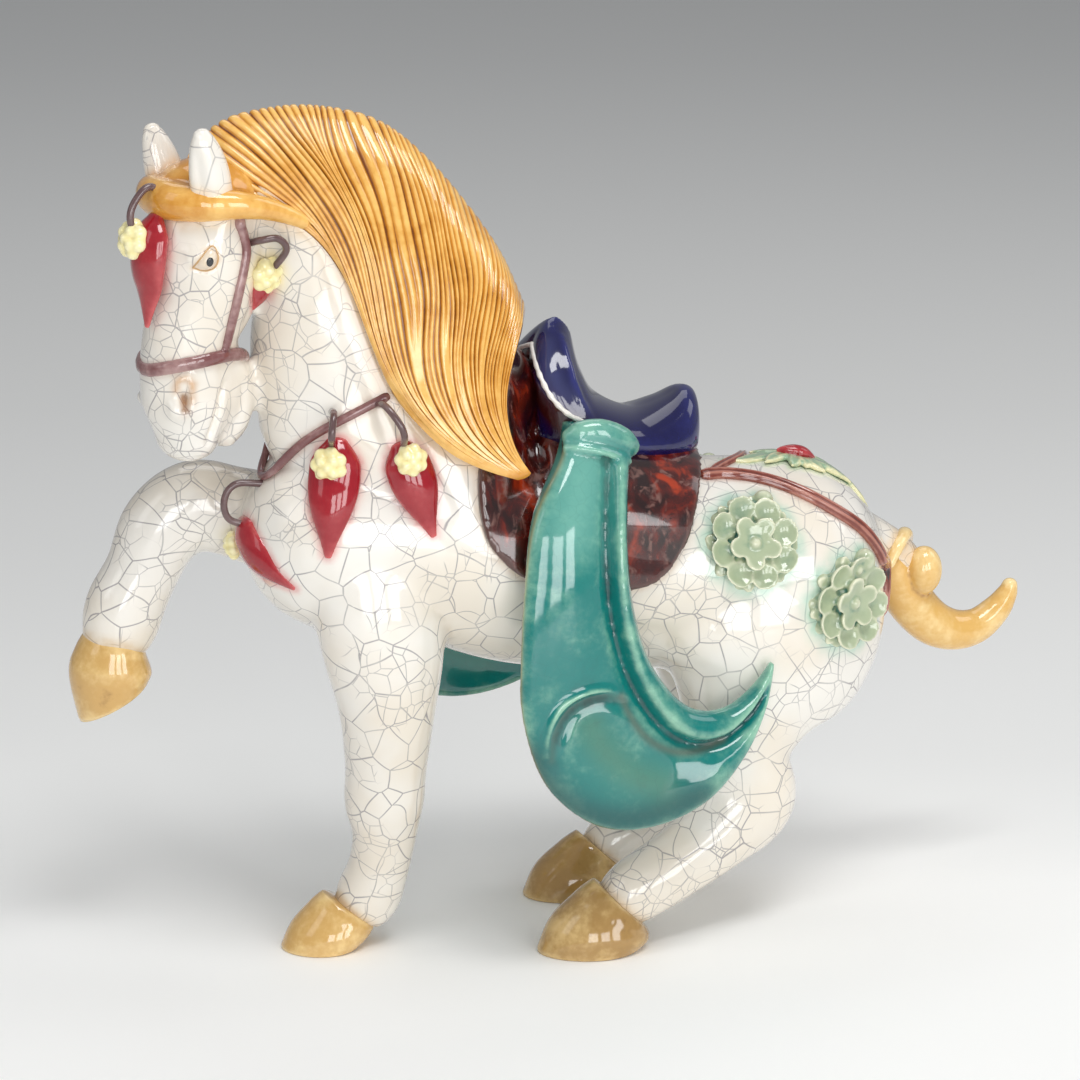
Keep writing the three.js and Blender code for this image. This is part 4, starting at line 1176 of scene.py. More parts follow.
def floret(place, radius):
    """Cluster of small balls round a larger one"""
    at, facing = place
    facing = unit(facing)
    across_it = unit(np.cross(facing, [0.1, 0.2, 1]))
    up_it = np.cross(facing, across_it)
    middle = at + facing * radius * 0.35
    turn = Matrix((across_it, up_it, facing)).transposed()
    lumps = [ball("core", middle, [radius * 0.9, radius * 0.88, radius * 0.5], 24, 14, turn)]
    for count, tilt, size in ((7, 0.2, 0.4), (4, 0.85, 0.34), (1, 1.5, 0.3)):
        for k in range(count):
            a = 2 * math.pi * (k + 0.5 * (tilt > 0.5)) / count
            way = spin(across_it, up_it, a) * math.cos(tilt) + facing * math.sin(tilt) * 0.8
            lumps.append(ball("lump", middle + way * radius * 0.68, radius * size, 12, 8))
    return fuse(weld("floret", lumps), 0.42, 10)


# %% Hang the drops and set the florets
CHEST_DROPS = [
    ((337, 441), (328, 558), 8.8, (333, 460), 5.8), ((400, 445), (434, 537), 8, (409, 458), 5.2),
]
drops, florets = [], []
for side in (-1, 1):
    for top_px, tip_px, wide, floret_px, size in CHEST_DROPS:
        marks = np.array([seen(*p)[0] for p in (top_px, tip_px, floret_px)]) * [1, -side, 1]
        top, tip, head = [from_side(x, z, side) for x, _, z in marks]
        drops.append(drop(top, tip, wide))
        florets.append(floret(off(head, 2.4), size))
    cheek_top = turned_side(-96.4, 228, side)
    drops.append(drop(cheek_top, turned_side(-98.6, 216, side), 4.8, 0.6))
    florets.append(floret(cheek_top, 5.8))
chest_top, chest_head = (seat([-160, y, z], [-60, y, z]) for y, z in ((3, 145), (5, 137)))
drops.append(drop(chest_top, seen(295, 589), 7.6))
florets.append(floret(off(chest_head, 0.8), 4.6))
brow_top, brow_mid, brow_tip = (
    seat(*turned([[-180, y, z], [-110, y, z - 2]])) for y, z in ((-3, 248), (-1.5, 241), (-3, 214))
)
drops.append(drop(brow_top, brow_tip, 7.8, 0.55, 2.8))
florets.append(floret(off(brow_mid, 4.6), 6.2))
drop_piece = fuse(weld("drops", drops), 0.5, 3)
floret_piece = weld("florets", florets)
print("drops and florets have", triangles(drop_piece), triangles(floret_piece), "triangles")

# %% [markdown]
# ## Rosettes and the lotus
# Moulded flowers are stuck on the rump. Three cupped petals are modelled and copied: five small
# ones round the bead, eight large ones behind them and eight thin leaves between, each set on the
# skin under it so the flower wraps the haunch. The lotus on the spine has long leaves that droop
# down both sides, and a red bud.

# %% Petal and rosettes
ROSETTE = 15.4
# Width, length, thickness and cup; how many; where they start, turn, tilt and stand
PETALS = [
    ((11, 9, 2.6, 2.6), 8, 0.44, 0.0, 0.1, 0.3),
    ((5, 8.4, 2.4, 0.7), 8, 0.5, math.pi / 8, -0.06, -0.2),
    ((8, 8.8, 2.8, 1.5), 5, 0.06, 0.3, 0.18, 1.4),
]
BUDS = [(3.6, 0.92), (2, 0.7)]
BASE_ROUNDS = (0.25, 0.5, 0.72, 0.86)


def petal(width, length, thick, cup):
    """Cupped petal lying along +Y from its root at the origin"""
    piece = sphere("petal", 20, 12)
    p = points_of(piece)
    rim = p[:, 0] ** 2 + p[:, 1] ** 2
    x = p[:, 0] * width / 2 * (0.86 + 0.14 * p[:, 1])
    y = (p[:, 1] + 1) * length / 2
    z = p[:, 2] * thick / 2 + cup * (rim - 0.5) + 0.25 * cup * (p[:, 1] + 1)
    move_to(piece, np.stack([x, y, z], axis=1) * MM)
    return piece


def set_copy(template, at, ahead, facing, tilt):
    """Copy of a petal with its root at a point, running ahead and tilted off the skin"""
    ahead = unit(ahead - facing * (ahead @ facing))
    side = np.cross(ahead, facing)
    lean = spin(ahead, facing, tilt)
    up = np.cross(side, lean)
    copy = template.copy()
    copy.data = template.data.copy()
    bpy.context.collection.objects.link(copy)
    turn = Matrix((side, lean, up)).transposed().to_4x4()
    copy.data.transform(Matrix.Translation(Vector(metres(at))) @ turn)
    return copy


def rosette(place, facing, first, bud_turn):
    """Petals round a bead, larger ones and leaves behind them, and two small buds at the rim"""
    facing = unit(facing)
    up = unit(np.array([0, 0, 1]) - facing * facing[2])
    side = np.cross(facing, up)
    parts = []

    def on_skin(way, out):
        at = place + way * out * ROSETTE
        return seat(at + facing * 25, at)

    for form, count, inner, turn, tilt, height in PETALS:
        template = petal(*form)
        for k in range(count):
            way = spin(up, side, first + turn + 2 * math.pi * k / count)
            at, normal = on_skin(way, inner)
            normal = unit(normal + facing * 0.7)
            parts.append(set_copy(template, at + normal * height, way, normal, tilt))
        bpy.data.objects.remove(template)
    parts.append(ball("bead", place + facing * 2.4, 2.1, 20, 12))
    for k, (size, out) in enumerate(BUDS):
        at, normal = on_skin(spin(up, side, bud_turn + 0.25 * k), out)
        parts.append(ball("bud", at + normal * 1.2, [size, size, size * 1.1], 20, 12))
    for r in BASE_ROUNDS:
        for k in range(10):
            at, normal = on_skin(spin(up, side, 2 * math.pi * k / 10 + r), r)
            parts.append(ball("base", at - normal * (1.3 + 0.9 * r), 3.2, 10, 6))
    return fuse(weld("rosette", parts), 0.52, 7)


# %% Two rosettes on each haunch
rosettes = []
for side in (-1, 1):
    front_at, _ = from_side(61.2, 133.2, side)
    rear_at, _ = seat([140, side * 140, 104], [93, side * 32, 111.6])
    rosettes.append(rosette(front_at, [0.05, side, 0.3], 0.2, side * 0.5))
    rosettes.append(rosette(rear_at, [0.4, side * 0.9, 0], -0.25, side * 0.5))
rosette_piece = weld("rosettes", rosettes)
print("rosettes have", triangles(rosette_piece), "triangles")

# %% Lotus on the spine
LOTUS_LEAVES = [
    [180, 30, 7], [162, 18, 6], [198, 18, 6], [0, 30, 8], [16, 27, 7], [-16, 27, 7], [34, 19, 7],
    [-34, 19, 7], [60, 13, 7], [-60, 13, 7], [96, 11, 6.6], [-96, 11, 6.6], [130, 13, 6],
    [-130, 13, 6],
]
lotus_at, _ = seat([94.6, 0, 260], [87.6, 0, 120])
lotus_up = unit([0.3, 0, 1])


def lotus_leaf(turn, start, end, wide, lift):
    """Long leaf that starts under the bud and follows the rump down"""
    ahead = unit(np.array([1, 0, -0.3]))
    side = np.cross(lotus_up, ahead)
    places = []
    for s in np.linspace(start, end, 12):
        way = spin(ahead, side, turn + 0.16 * math.sin(s * 0.2 + turn * 3))
        at = lotus_at + way * s
        middle = np.array([at[0] * 0.7 + 85 * 0.3, 0, 112])
        places.append(seat(at + (at - middle) * 1.5 + lotus_up * 8, middle))
    at = np.array([p + n * (lift - 0.3) for p, n in places])
    facing = np.array([n for _, n in places])
    beside = unit(np.cross(facing, unit(np.gradient(at, axis=0))))
    share = np.linspace(0, 1, 12)
    swell = np.maximum(0.1, np.sin(math.pi * share ** 0.75) ** 0.8)
    size = np.stack([0.5 + 1.0 * swell, wide / 2 * swell], axis=1)

    def veined(q):
        return 1 - 0.32 * np.abs(np.cos(q)) ** 9 + 0.05 * np.cos(10 * q)

    return roll("leaf", rings(np.hstack([at, size, beside]), 40, 44, (0.5, 0.4), section=veined))


lotus = fuse(weld("lotus", [
    lotus_leaf(math.radians(turn), 1.5, long, wide, 0.5 + 0.8 * (long < 20))
    for turn, long, wide in LOTUS_LEAVES
]), 0.5, 2)
BUD = [
    [-6.8, 0.4, 0.8], [-4.6, 2, 1.7], [-1.6, 3.4, 2.6], [1.6, 3.8, 2.8], [4.6, 2.4, 1.8],
    [7, 0.4, 0.5],
]
bud_row = [
    [*(lotus_at + [x, 0, 2.2 - 0.36 * x - 0.02 * x * x]), height, wide] for x, wide, height in BUD
]


def sepals(q):
    return 0.84 + 0.26 * np.abs(np.cos(1.5 * q + 0.7))


lotus_bud = fuse(roll("lotus_bud", rings(bud_row, 40, 40, (1, 1), section=sepals)), 0.4, 2)
print("lotus has", triangles(lotus), "triangles")

# %% [markdown]
# ## Wire hoops
# Real wire was bent into hoops and fired into the clay. Each hoop is a round tube whose two ends go
# into the glaze, in the place of the plain hoop of the frame.

# %% Hoops
WIRE = 2.3


WIRE_PATHS = {
    "forehead_hoop": [
        [-122, 3, 250], [-129.4, 3.4, 256.6], [-134.8, 3.4, 253], [-136.8, 3.4, 247],
        [-133, 2.6, 239],
    ],
    "cheek_hoop": [
        [-103, 13, 237.6], [-101, 19.8, 239.8], [-96, 21.4, 240], [-92.8, 20.6, 236], [-94.8, 15, 229],
    ],
    "breast_hoop_front": [
        [-91, 2, 158], [-101, 2, 158.8], [-105, 2, 154], [-103.6, 2, 147.6], [-96, 2, 144.6],
    ],
    "breast_hoop_1": [
        [-74, 18, 184], [-75.6, 27, 185.6], [-77, 30.5, 182], [-77.2, 30.2, 178.5], [-75.6, 24, 175],
    ],
    "breast_hoop_2": [
        [-61, 24, 186.6], [-60.6, 32.6, 188], [-57.4, 36.4, 183.4], [-55.6, 36, 179],
        [-54.4, 30, 173.6],
    ],
}
ON_HEAD = ("forehead_hoop", "cheek_hoop")
HOOPS = (
    "forehead_hoop", "cheek_hoop_near", "cheek_hoop_far", "breast_hoop_front",
    "breast_hoop_near_1", "breast_hoop_near_2", "breast_hoop_far_1", "breast_hoop_far_2",
)
hoops = {}
for node_name in HOOPS:
    kind = node_name.replace("_near", "").replace("_far", "")
    path = np.array(WIRE_PATHS[kind]) * [1, 1 if "_far" in node_name else -1, 1]
    path = turned(path) if kind in ON_HEAD else path
    rows = np.hstack([path, np.full((len(path), 2), WIRE / 2)])
    wire = rings(rows, 18, 50, (0.3, 0.3), side=(0.3, 1, 0.2))
    hoops[node_name] = roll("wire_" + node_name, wire)
print(len(hoops), "wire hoops")

# %% Eyes: a small dark pupil on each side, and a fine raised line round the lids
near_eye, _ = seen(210, 262)
pupils, rims = [], []
for at in both_cheeks(near_eye):
    inside = turned(np.array([HEAD_AXIS, 0, 232]))
    on, look = seat(at + unit(at - inside) * 12, inside)
    across_it = unit(np.cross(look, [0, 0, 1]))
    turn = Matrix((across_it, np.cross(look, across_it), look)).transposed()
    pupils.append(ball("pupil", on + look * 0.05, [1.15, 1.55, 0.5], 28, 16, turn))
pupil_piece = weld("pupils", pupils)
for path in both_cheeks(over(EYE_RIM)):
    places = on_body(spaced(path, 36))
    rim_rows = [[*at, 0.24, 0.24] for at, _ in places]
    rims.append(roll("rim", rings(rim_rows, 12, 72, side=(0.2, 0.1, 1))))
eye_rims = weld("eye_rims", rims)
print("pupils at", np.round(near_eye, 1))

# %% [markdown]
# ## Glazes
# All the colours are glass, melted on at different thicknesses. One node group turns the hollowness
# of the surface into three tones of a glaze: thin on edges, plain on flats, pooled in hollows.
# Another draws the crackle, the net of fine cracks that stained clay shows through a white glaze.

# %% Small helpers for node trees
def node(tree, kind, sockets=None, **settings):
    """Add a node, set it up and link or fill its sockets"""
    made = tree.nodes.new(kind)
    for key, value in settings.items():
        setattr(made, key, value)
    for key, value in (sockets or {}).items():
        if isinstance(value, bpy.types.NodeSocket):
            tree.links.new(value, made.inputs[key])
        else:
            made.inputs[key].default_value = value
    return made


def mix(tree, share, one, other):
    """Blend two colours"""
    return node(tree, "ShaderNodeMix", {0: share, 6: one, 7: other}, data_type="RGBA").outputs[2]


def span(tree, value, low_in, high_in, low_out=0.0, high_out=1.0):
    """Rescale a value, smoothly and clamped"""
    return node(tree, "ShaderNodeMapRange", {
        "Value": value, "From Min": low_in, "From Max": high_in,
        "To Min": low_out, "To Max": high_out,
    }, interpolation_type="SMOOTHSTEP").outputs[0]


def noise(tree, place, scale, detail=3, distortion=0.0):
    """Clouds, as values from 0 to 1 and as colours"""
    return node(tree, "ShaderNodeTexNoise", {
        "Vector": place, "Scale": scale, "Detail": detail, "Distortion": distortion,
    }).outputs


def sums(tree, how, one, other):
    return node(tree, "ShaderNodeMath", {0: one, 1: other}, operation=how).outputs[0]


def colour(r, g, b):
    """A colour as the eye names it, 0 to 255, turned linear for the shader"""
    share = np.array([r, g, b]) / 255
    linear = np.where(share <= 0.04045, share / 12.92, ((share + 0.055) / 1.055) ** 2.4)
    return (*[float(c) for c in linear], 1.0)


def group(name, inputs, outputs):
    """Empty node group with named sockets"""
    tree = bpy.data.node_groups.new(name, "ShaderNodeTree")
    for label, kind in inputs:
        tree.interface.new_socket(label, in_out="INPUT", socket_type=kind)
    for label, kind in outputs:
        tree.interface.new_socket(label, in_out="OUTPUT", socket_type=kind)
    return tree, node(tree, "NodeGroupInput").outputs, node(tree, "NodeGroupOutput")


print("mid grey is", round(colour(128, 128, 128)[0], 3), "in linear light")

# %% Group: thickness of a glaze
NUMBER, ARROW, TINT = "NodeSocketFloat", "NodeSocketVector", "NodeSocketColor"
pooling, given, result = group("glaze thickness", [
    ("Place", ARROW), ("Hollow", NUMBER), ("Thin", TINT), ("Plain", TINT), ("Pooled", TINT),
    ("Clouds", NUMBER),
], [("Colour", TINT)])
cloud = noise(pooling, given["Place"], 90, 4, 0.4)[0]
fine_cloud = noise(pooling, given["Place"], 520)[0]
wave = sums(pooling, "ADD", cloud, sums(pooling, "MULTIPLY", fine_cloud, 0.35))
wave = sums(pooling, "MULTIPLY", sums(pooling, "SUBTRACT", wave, 0.67), given["Clouds"])
depth = sums(pooling, "ADD", given["Hollow"], wave)
edge_tone = mix(pooling, span(pooling, depth, 0.12, 0.5), given["Thin"], given["Plain"])
tone = mix(pooling, span(pooling, depth, 0.52, 0.92), edge_tone, given["Pooled"])
pooling.links.new(tone, result.inputs["Colour"])
print(pooling.name, "has", len(pooling.nodes), "nodes")

# %% Group: crackle
crackle, given, result = group(
    "crackle", [("Place", ARROW), ("Facing", ARROW), ("Cell", NUMBER), ("Line", NUMBER)],
    [("Cracks", NUMBER), ("Tint", NUMBER)],
)
LEAST_SLOPE = 0.03


def arrows(how, one, other=(0, 0, 0), output=0):
    """Vector sum in the crackle group"""
    return node(crackle, "ShaderNodeVectorMath", {0: one, 1: other}, operation=how).outputs[output]


def crack_net(warp_scale, warp_by, cell_share, line_share):
    """One net of cracks between warped cells, as wide on a slope as on a flat"""
    warp = noise(crackle, given["Place"], warp_scale, 0.6)[1]
    pull = arrows("MULTIPLY", arrows("SUBTRACT", warp, (0.5, 0.5, 0.5)), (warp_by, warp_by, warp_by))
    place = arrows("ADD", given["Place"], pull)
    scale = sums(crackle, "DIVIDE", cell_share, given["Cell"])
    seeds = [
        node(crackle, "ShaderNodeTexVoronoi", {
            "Vector": place, "Scale": scale, "Randomness": 0.9,
        }, feature=feature).outputs["Position"]
        for feature in ("F1", "F2")
    ]
    wall = arrows("NORMALIZE", arrows("SUBTRACT", seeds[1], seeds[0]))
    middle = arrows("MULTIPLY", arrows("ADD", seeds[0], seeds[1]), (0.5, 0.5, 0.5))
    off = arrows("DOT_PRODUCT", arrows("SUBTRACT", middle, place), wall, output=1)
    lean = arrows("DOT_PRODUCT", wall, given["Facing"], output=1)
    slope = sums(crackle, "SUBTRACT", 1.0, sums(crackle, "MULTIPLY", lean, lean))
    slope = sums(crackle, "SQRT", sums(crackle, "MAXIMUM", slope, LEAST_SLOPE), 0)
    away = sums(crackle, "DIVIDE", off, slope)
    width = sums(crackle, "MULTIPLY", given["Line"], line_share)
    return node(crackle, "ShaderNodeMapRange", {
        "Value": away, "From Min": sums(crackle, "MULTIPLY", width, 0.3), "From Max": width,
        "To Min": 1.0, "To Max": 0.0,
    }).outputs[0]


first = crack_net(48, 0.008, 0.8, 1.0)
second = crack_net(80, 0.005, 1.25, 0.75)
patch = span(crackle, noise(crackle, given["Place"], 42, 1)[0], 0.46, 0.54, 0, 0.8)
fade = span(crackle, noise(crackle, given["Place"], 75)[0], 0.3, 0.6, 0.5, 1)
tint = span(crackle, noise(crackle, given["Place"], 30)[0], 0.35, 0.65)
lines = sums(crackle, "MAXIMUM", first, sums(crackle, "MULTIPLY", second, patch))
crackle.links.new(sums(crackle, "MULTIPLY", lines, fade), result.inputs["Cracks"])
crackle.links.new(tint, result.inputs["Tint"])
print("node groups", [g.name for g in bpy.data.node_groups])


# %% What all the glazes share
def start(name):
    """New material: its tree, the place on the object and how hollow the surface is there"""
    made = bpy.data.materials.new(name)
    made.use_nodes = True
    tree = made.node_tree
    place = node(tree, "ShaderNodeTexCoord").outputs["Object"]
    return tree, place, node(tree, "ShaderNodeAttribute", attribute_name="hollow").outputs["Fac"]


def run_in_with_shade(tree, base, share=None):
    """Colours of neighbouring glazes, and shade painted on the cloths, over a base colour"""
    ran = node(tree, "ShaderNodeAttribute", attribute_name="bleed_and_shade").outputs
    much = ran["Alpha"] if share is None else sums(tree, "MULTIPLY", ran["Alpha"], share)
    return mix(tree, much, base, ran["Color"])


def cracked(tree, place, cell, line):
    """Crackle with cells and lines of one size, in metres"""
    facing = node(tree, "ShaderNodeNewGeometry").outputs["Normal"]
    return node(tree, "ShaderNodeGroup", {
        "Place": place, "Facing": facing, "Cell": cell, "Line": line,
    }, node_tree=crackle).outputs


def gloss(tree, base, height, strength, deep, roughness, coat, coat_roughness):
    """Colour, relief in drawing millimetres, and shine"""
    relief = node(tree, "ShaderNodeBump", {
        "Height": height, "Strength": strength, "Distance": deep * MM,
    })
    shader = tree.nodes["Principled BSDF"].inputs
    tree.links.new(base, shader["Base Color"])
    tree.links.new(relief.outputs[0], shader["Normal"])
    shader["Roughness"].default_value = roughness
    shader["Coat Weight"].default_value = coat
    shader["Coat Roughness"].default_value = coat_roughness


print("groups in use:", pooling.name, "and", crackle.name)

# %% Running glazes: thin, plain and pooled colour, and how cloudy they are
GLAZES = {
    "amber glaze": ((240, 192, 108), (208, 142, 50), (120, 64, 26), 0.6),
    "hoof glaze": ((236, 204, 142), (208, 166, 98), (126, 84, 42), 0.9),
    "hind hoof glaze": ((210, 178, 120), (170, 134, 78), (96, 62, 34), 1.0),
    "tail glaze": ((246, 218, 158), (222, 176, 98), (148, 96, 46), 0.7),
    "cobalt glaze": ((36, 40, 104), (10, 9, 66), (5, 4, 38), 0.35),
    "white line glaze": ((246, 242, 236), (238, 234, 226), (190, 180, 170), 0.4),
    "turquoise glaze": ((140, 190, 164), (4, 118, 112), (2, 60, 62), 0.5),
    "celadon glaze": ((222, 222, 194), (168, 180, 148), (62, 120, 106), 0.4),
    "lotus glaze": ((228, 222, 176), (148, 176, 142), (48, 108, 94), 1.1),
    "red glaze": ((206, 92, 92), (152, 15, 31), (104, 6, 20), 0.3),
    "pale yellow glaze": ((252, 246, 206), (246, 234, 170), (226, 196, 116), 0.3),
    "strap glaze": ((172, 138, 134), (122, 76, 76), (70, 36, 40), 0.9),
    "crupper glaze": ((176, 116, 100), (122, 54, 42), (50, 18, 18), 0.9),
    "eye line glaze": ((214, 184, 140), (196, 156, 104), (150, 104, 60), 0.4),
    "fired wire": ((128, 104, 102), (92, 68, 68), (44, 28, 30), 0.8),
    "pupil glaze": ((84, 88, 92), (40, 42, 44), (14, 14, 16), 0.2),
}
BLEED_AND_SHADE_GLAZES = ("cobalt glaze", "turquoise glaze")
FINE_CRACKED = "turquoise glaze"
MATT = "fired wire"
for name, (thin, plain, pooled, clouds) in GLAZES.items():
    tree, place, hollow = start(name)
    base = node(tree, "ShaderNodeGroup", {
        "Place": place, "Hollow": hollow, "Clouds": clouds,
        "Thin": colour(*thin), "Plain": colour(*plain), "Pooled": colour(*pooled),
    }, node_tree=pooling).outputs[0]
    # Glaze run in from neighbours, and on the turquoise cloths also the painted shade under the hem
    # and the lip
    if name in BLEED_AND_SHADE_GLAZES:
        base = run_in_with_shade(tree, base)
    if name == FINE_CRACKED:
        share = sums(tree, "MULTIPLY", cracked(tree, place, 0.0034, 0.00008)["Cracks"], 0.2)
        base = mix(tree, share, base, colour(*pooled))
    rough = 0.25 if name == MATT else 0.1
    gloss(tree, base, noise(tree, place, 180, 2)[0], 0.25, 0.02, rough, 0.6, 0.03)
print(len(GLAZES), "running glazes")

# %% White crackle glaze
tree, place, hollow = start("white crackle glaze")
net = cracked(tree, place, 0.0082, 0.0003)
base = mix(tree, net["Tint"], colour(235, 231, 223), colour(229, 220, 205))
base = mix(tree, span(tree, hollow, 0.55, 0.95), base, colour(202, 184, 162))
base = mix(tree, sums(tree, "MULTIPLY", net["Cracks"], 0.85), base, colour(140, 136, 138))
base = run_in_with_shade(tree, base, span(tree, noise(tree, place, 260)[0], 0.3, 0.7, 0.55, 1))
gloss(tree, base, noise(tree, place, 140, 2)[0], 0.3, 0.05, 0.14, 0.7, 0.04)
print("white glaze has", len(tree.nodes), "nodes")

# %% Oxblood: a glaze that breaks into red, rust and grey
tree, place, hollow = start("oxblood glaze")
runs = node(tree, "ShaderNodeMapping", {"Vector": place, "Scale": (1, 1, 0.45)}).outputs[0]
big = noise(tree, runs, 105, 4, 1.2)[0]
small = noise(tree, place, 480, 4, 0.4)[0]
veins = noise(tree, runs, 130, 6, 1.4)[0]
base = mix(tree, span(tree, big, 0.38, 0.58), colour(34, 9, 9), colour(80, 19, 12))
base = mix(tree, span(tree, big, 0.54, 0.72), base, colour(164, 52, 18))
base = mix(tree, sums(tree, "MULTIPLY", span(tree, small, 0.52, 0.68), 0.4), base, colour(36, 12, 12))
grey = sums(tree, "MULTIPLY", span(tree, veins, 0.54, 0.66), span(tree, small, 0.36, 0.6))
base = mix(tree, sums(tree, "MULTIPLY", grey, 0.8), base, colour(128, 92, 84))
base = mix(tree, span(tree, hollow, 0.42, 0.12), base, colour(84, 52, 46))
gloss(tree, base, veins, 0.35, 0.2, 0.16, 0.8, 0.05)
print("materials", len(bpy.data.materials))

# %% [markdown]
# ## Glazes that run into each other
# In the kiln every coloured glaze bleeds a little into the white beside it: green haloes round the
# rosettes, pink round the drops, honey under the mane. Each vertex of the body is given the colour
# of the nearest coloured pieces, fading with distance. On the hanging cloths the same attribute
# also carries painted shade, a dark line under the hem and under the lip.

# %% Colours that run into the white, and painted shade
def paint_bleed_and_shade(body, sources, strokes):
    """Attribute bleed_and_shade: colour and strength of what runs into the white glaze, and of the
    shade painted on the cloths
    """
    points = points_of(body)
    total = np.zeros((len(points), 3))
    weight = np.zeros(len(points))
    clear = np.ones(len(points))

    def add(chosen, d, tint, reach, strength):
        w = strength * np.exp(-((np.maximum(d, 0) / reach) ** 2))
        total[chosen] += w[:, None] * np.array(colour(*tint)[:3])
        weight[chosen] += w
        clear[chosen] *= 1 - w

    for piece, tint, reach, strength in sources:
        corners = points_of(piece)
        margin = reach * 2.2 * MM
        inside = ((points > corners.min(0) - margin) & (points < corners.max(0) + margin)).all(1)
        chosen = np.nonzero(inside)[0]
        tree_of = surface(piece)
        d = np.full(len(chosen), 1e3)
        for k, i in enumerate(chosen):
            hit = tree_of.find_nearest(Vector(points[i]), margin)
            if hit[0] is not None:
                d[k] = hit[3] / MM
        add(chosen, d, tint, reach, strength)
    everything = np.arange(len(points))
    for path, tint, reach, strength in strokes:
        d, _ = distance_to(drawn(points), path)
        add(everything, d, tint, reach, strength)
    rgba = np.ones((len(points), 4))
    rgba[:, :3] = total / np.maximum(weight, 1e-6)[:, None]
    rgba[:, 3] = 1 - clear
    layer = body.data.attributes.new("bleed_and_shade", "FLOAT_COLOR", "POINT")
    layer.data.foreach_set("color", rgba.astype(np.float32).ravel())


# %% Tints round the face, under the pieces, on the saddle and ears, and tints with painted shade on the cloths
strokes = [
    (path, tint, reach, strength)
    for pixels, tint, reach, strength in (
        (EYE_RIM, (206, 164, 112), 1.0, 0.5), (EYE_BALL, (226, 190, 132), 2.4, 0.5),
        (NOSTRIL, (150, 96, 40), 1.8, 0.95), (NOSTRIL_RIM, (190, 136, 70), 1.5, 0.75),
    )
    for path in both_cheeks(over(pixels))
]
paint_bleed_and_shade(horse, [
    (mane, (232, 196, 140), 3.0, 0.5), (forelock, (236, 204, 156), 3.0, 0.5),
    (drop_piece, (214, 120, 116), 1.5, 0.75), (rosette_piece, (150, 200, 178), 2.6, 0.75),
    (lotus, (170, 204, 160), 1.8, 0.6), (tail, (226, 186, 124), 2.4, 0.6),
    (cloth_near, (176, 206, 184), 1.8, 0.5), (saddle_cloth, (206, 178, 148), 1.6, 0.6),
    (cruppers, (176, 132, 116), 1.0, 0.6), (breast_strap, (186, 152, 134), 1.2, 0.6),
    (bridle_all, (196, 172, 158), 0.9, 0.5), (floret_piece, (244, 228, 176), 2.4, 0.5),
    *[(h, (206, 172, 120), 2.0, 0.7) for h in hooves],
], strokes)
paint_bleed_and_shade(saddle, [], [
    (path, tint, reach, strength)
    for pixels, tint, reach, strength in (
        (SKIRT, (62, 66, 104), 4.2, 0.7), (SKIRT_FRONT, (58, 14, 12), 4, 1.6),
    )
    for path in mirrored(over(pixels, 12, saddle_tree))
])
paint_bleed_and_shade(ears, [(forelock, (240, 204, 156), 2.0, 0.6)], [])
# On the cloths, hem_shade and the stroke just under the lip are painted shade; the other strokes are
# tints of the glaze
for cloth, place in ((cloth_near, as_drawn), (cloth_far, to_far)):
    paint_bleed_and_shade(cloth, [], [(place(path), *tone) for path, *tone in (
        (hem_shade, (96, 104, 92), 1.5, 0.75), (bowl, (96, 128, 84), 6, 0.35),
        (pool, (6, 78, 78), 6, 0.85), (lip + [1.6, 0, -1.8], (74, 104, 92), 1.2, 0.6),
        (crest_of_cloth, (128, 188, 172), 11, 0.6), (left_edge, (170, 146, 84), 0.9, 0.6),
    )])
print("bleed written")

# %% Glaze, body and hollowness of every piece, listed with its slot
for piece, name, slot, rounds, spread in (
    (horse, "white crackle glaze", "white_crackle", 14, 1.2),
    (ears, "white crackle glaze", "white_crackle", 14, 1.2),
    (mane, "amber glaze", "amber", 0, 0),
    (forelock, "amber glaze", "amber", 12, 0.5),
    (tail, "tail glaze", "amber", 16, 0.6),
    (saddle, "cobalt glaze", "cobalt", 24, 0.9),
    (saddle_cloth, "oxblood glaze", "oxblood", 16, 0.7),
    (cloth_near, "turquoise glaze", "turquoise", 18, 0.7),
    (cloth_far, "turquoise glaze", "turquoise", 18, 0.7),
    (bridle_all, "strap glaze", "strap_brown", 10, 0.3),
    (breast_strap, "strap glaze", "strap_brown", 8, 0.4),
    (cruppers, "crupper glaze", "strap_brown", 8, 0.4),
    (drop_piece, "red glaze", "red", 14, 0.5),
    (floret_piece, "pale yellow glaze", "yellow", 8, 0.3),
    (rosette_piece, "celadon glaze", "celadon", 8, 0.32),
    (lotus, "lotus glaze", "celadon", 8, 0.3),
    (lotus_bud, "red glaze", "red", 10, 0.4),
    (saddle_edge, "white line glaze", "white_crackle", 4, 1.2),
    (pupil_piece, "pupil glaze", "wire", 4, 0.4),
    (eye_rims, "eye line glaze", "amber", 4, 0.6),
    *[(h, "hoof glaze", "amber", 8, 0.8) for h in hooves[:2]],
    *[(h, "hind hoof glaze", "amber", 8, 0.8) for h in hooves[2:]],
    *[(h, "fired wire", "wire", 4, 0.4) for h in hoops.values()],
):
    if rounds:
        hollowness(piece, rounds, spread)
    alone(piece)
    bpy.ops.object.shade_smooth()
    piece.data.materials.clear()
    piece.data.materials.append(bpy.data.materials[name])
    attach(piece, "root")
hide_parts("horse")
for node_name, hoop in hoops.items():
    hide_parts(node_name)
print("whole model has", sum(triangles(p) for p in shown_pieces()), "triangles")
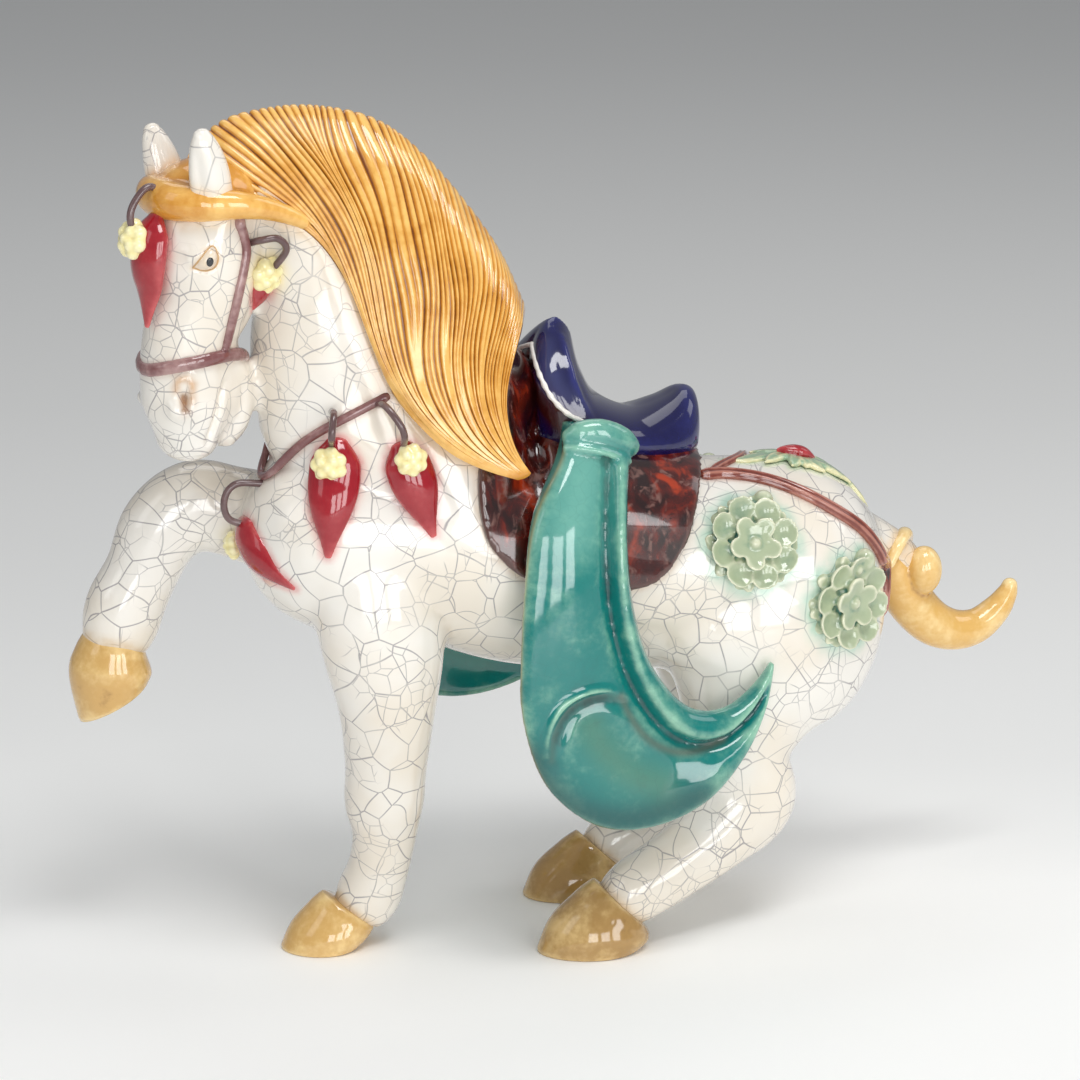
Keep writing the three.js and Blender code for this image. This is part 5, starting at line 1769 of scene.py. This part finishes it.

# %% [markdown]
# ## Floor and light
# The picture was made on a pale sweep beside windows and under soft boxes. Three tall panes stand
# low in front, one box hangs overhead, and weaker ones fill in from the left, the right and behind.
# Their white shapes in the glaze say where they stood.

# %% Floor, with painted shade that greys it away from the camera
bpy.ops.object.select_all(action="DESELECT")
bpy.ops.mesh.primitive_circle_add(vertices=96, radius=6, fill_type="NGON", location=(0, 0, -0.0002))
floor = bpy.context.object
floor.name = "floor"
pale = bpy.data.materials.new("pale floor")
pale.use_nodes = True
tree = pale.node_tree
place = node(tree, "ShaderNodeTexCoord").outputs["Object"]
away = node(tree, "ShaderNodeVectorMath", {
    0: place, 1: (math.sin(LOOK_TURN), math.cos(LOOK_TURN), 0),
}, operation="DOT_PRODUCT").outputs["Value"]
# Painted shade: the floor's colour turns from white near the camera to grey far away, as the light
# falls off
FLOOR_SHADE_TONES = [(0.02, 255), (0.16, 244), (0.7, 232), (1.9, 224)]
FLOOR_NEAR, FLOOR_FAR = -0.2, 4
reach = node(tree, "ShaderNodeMapRange", {
    "Value": away, "From Min": FLOOR_NEAR, "From Max": FLOOR_FAR,
}).outputs[0]
shade = node(tree, "ShaderNodeValToRGB", {"Fac": reach})
ramp = shade.color_ramp
for distance, tone in FLOOR_SHADE_TONES:
    stop = ramp.elements.new((distance - FLOOR_NEAR) / (FLOOR_FAR - FLOOR_NEAR))
    stop.color = colour(tone, tone, tone - 2)
ramp.elements[0].color = colour(252, 252, 250)
ramp.elements[-1].color = colour(222, 222, 220)
tree.links.new(shade.outputs[0], tree.nodes["Principled BSDF"].inputs["Base Color"])
tree.nodes["Principled BSDF"].inputs["Roughness"].default_value = 0.7
floor.data.materials.append(pale)
floor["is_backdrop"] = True
print("floor laid")


# %% Soft boxes and room light
BOXES = {
    "box_window_left": (-21, 8, 1.5, 0.36, 0.6, 3.4),
    "box_window_middle": (-2, 8, 1.5, 0.36, 0.6, 3.4),
    "box_window_right": (17, 9, 1.5, 0.36, 0.62, 3.8),
    "box_top": (12, 66, 1.3, 0.7, 0.4, 7.5),
    "box_left": (-72, 30, 1.4, 0.4, 0.8, 1.2),
    "box_right": (85, 40, 1.6, 0.6, 0.8, 2.6),
    "box_back": (170, 60, 1.8, 1.2, 0.8, 4),
}
LIT_POINT = Vector((0, 0, 0.14))
for name, (turn, rise, distance, wide, tall, power) in BOXES.items():
    a, e = math.radians(turn), math.radians(rise)
    way = Vector((math.sin(a) * math.cos(e), -math.cos(a) * math.cos(e), math.sin(e)))
    bpy.ops.object.light_add(type="AREA", location=LIT_POINT + way * distance)
    light = bpy.context.object
    light.name = name
    light.rotation_euler = way.to_track_quat("Z", "Y").to_euler()
    light.data.shape = "RECTANGLE"
    light.data.size, light.data.size_y = wide, tall
    light.data.energy = power
room = bpy.data.worlds.new("room")
bpy.context.scene.world = room
room.use_nodes = True
sky = room.node_tree.nodes["Background"].inputs
sky["Color"].default_value = (0.9, 0.92, 0.95, 1)
sky["Strength"].default_value = 0.35
bpy.context.scene.view_settings.view_transform = "Standard"
print(len(BOXES), "lights")

# %% Sizes of the frame and the model, printed, and the end
final_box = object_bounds()
for name, box in (("frame", cad_box), ("model", final_box)):
    print(name, "box", [list(np.round(c, 4)) for c in box])
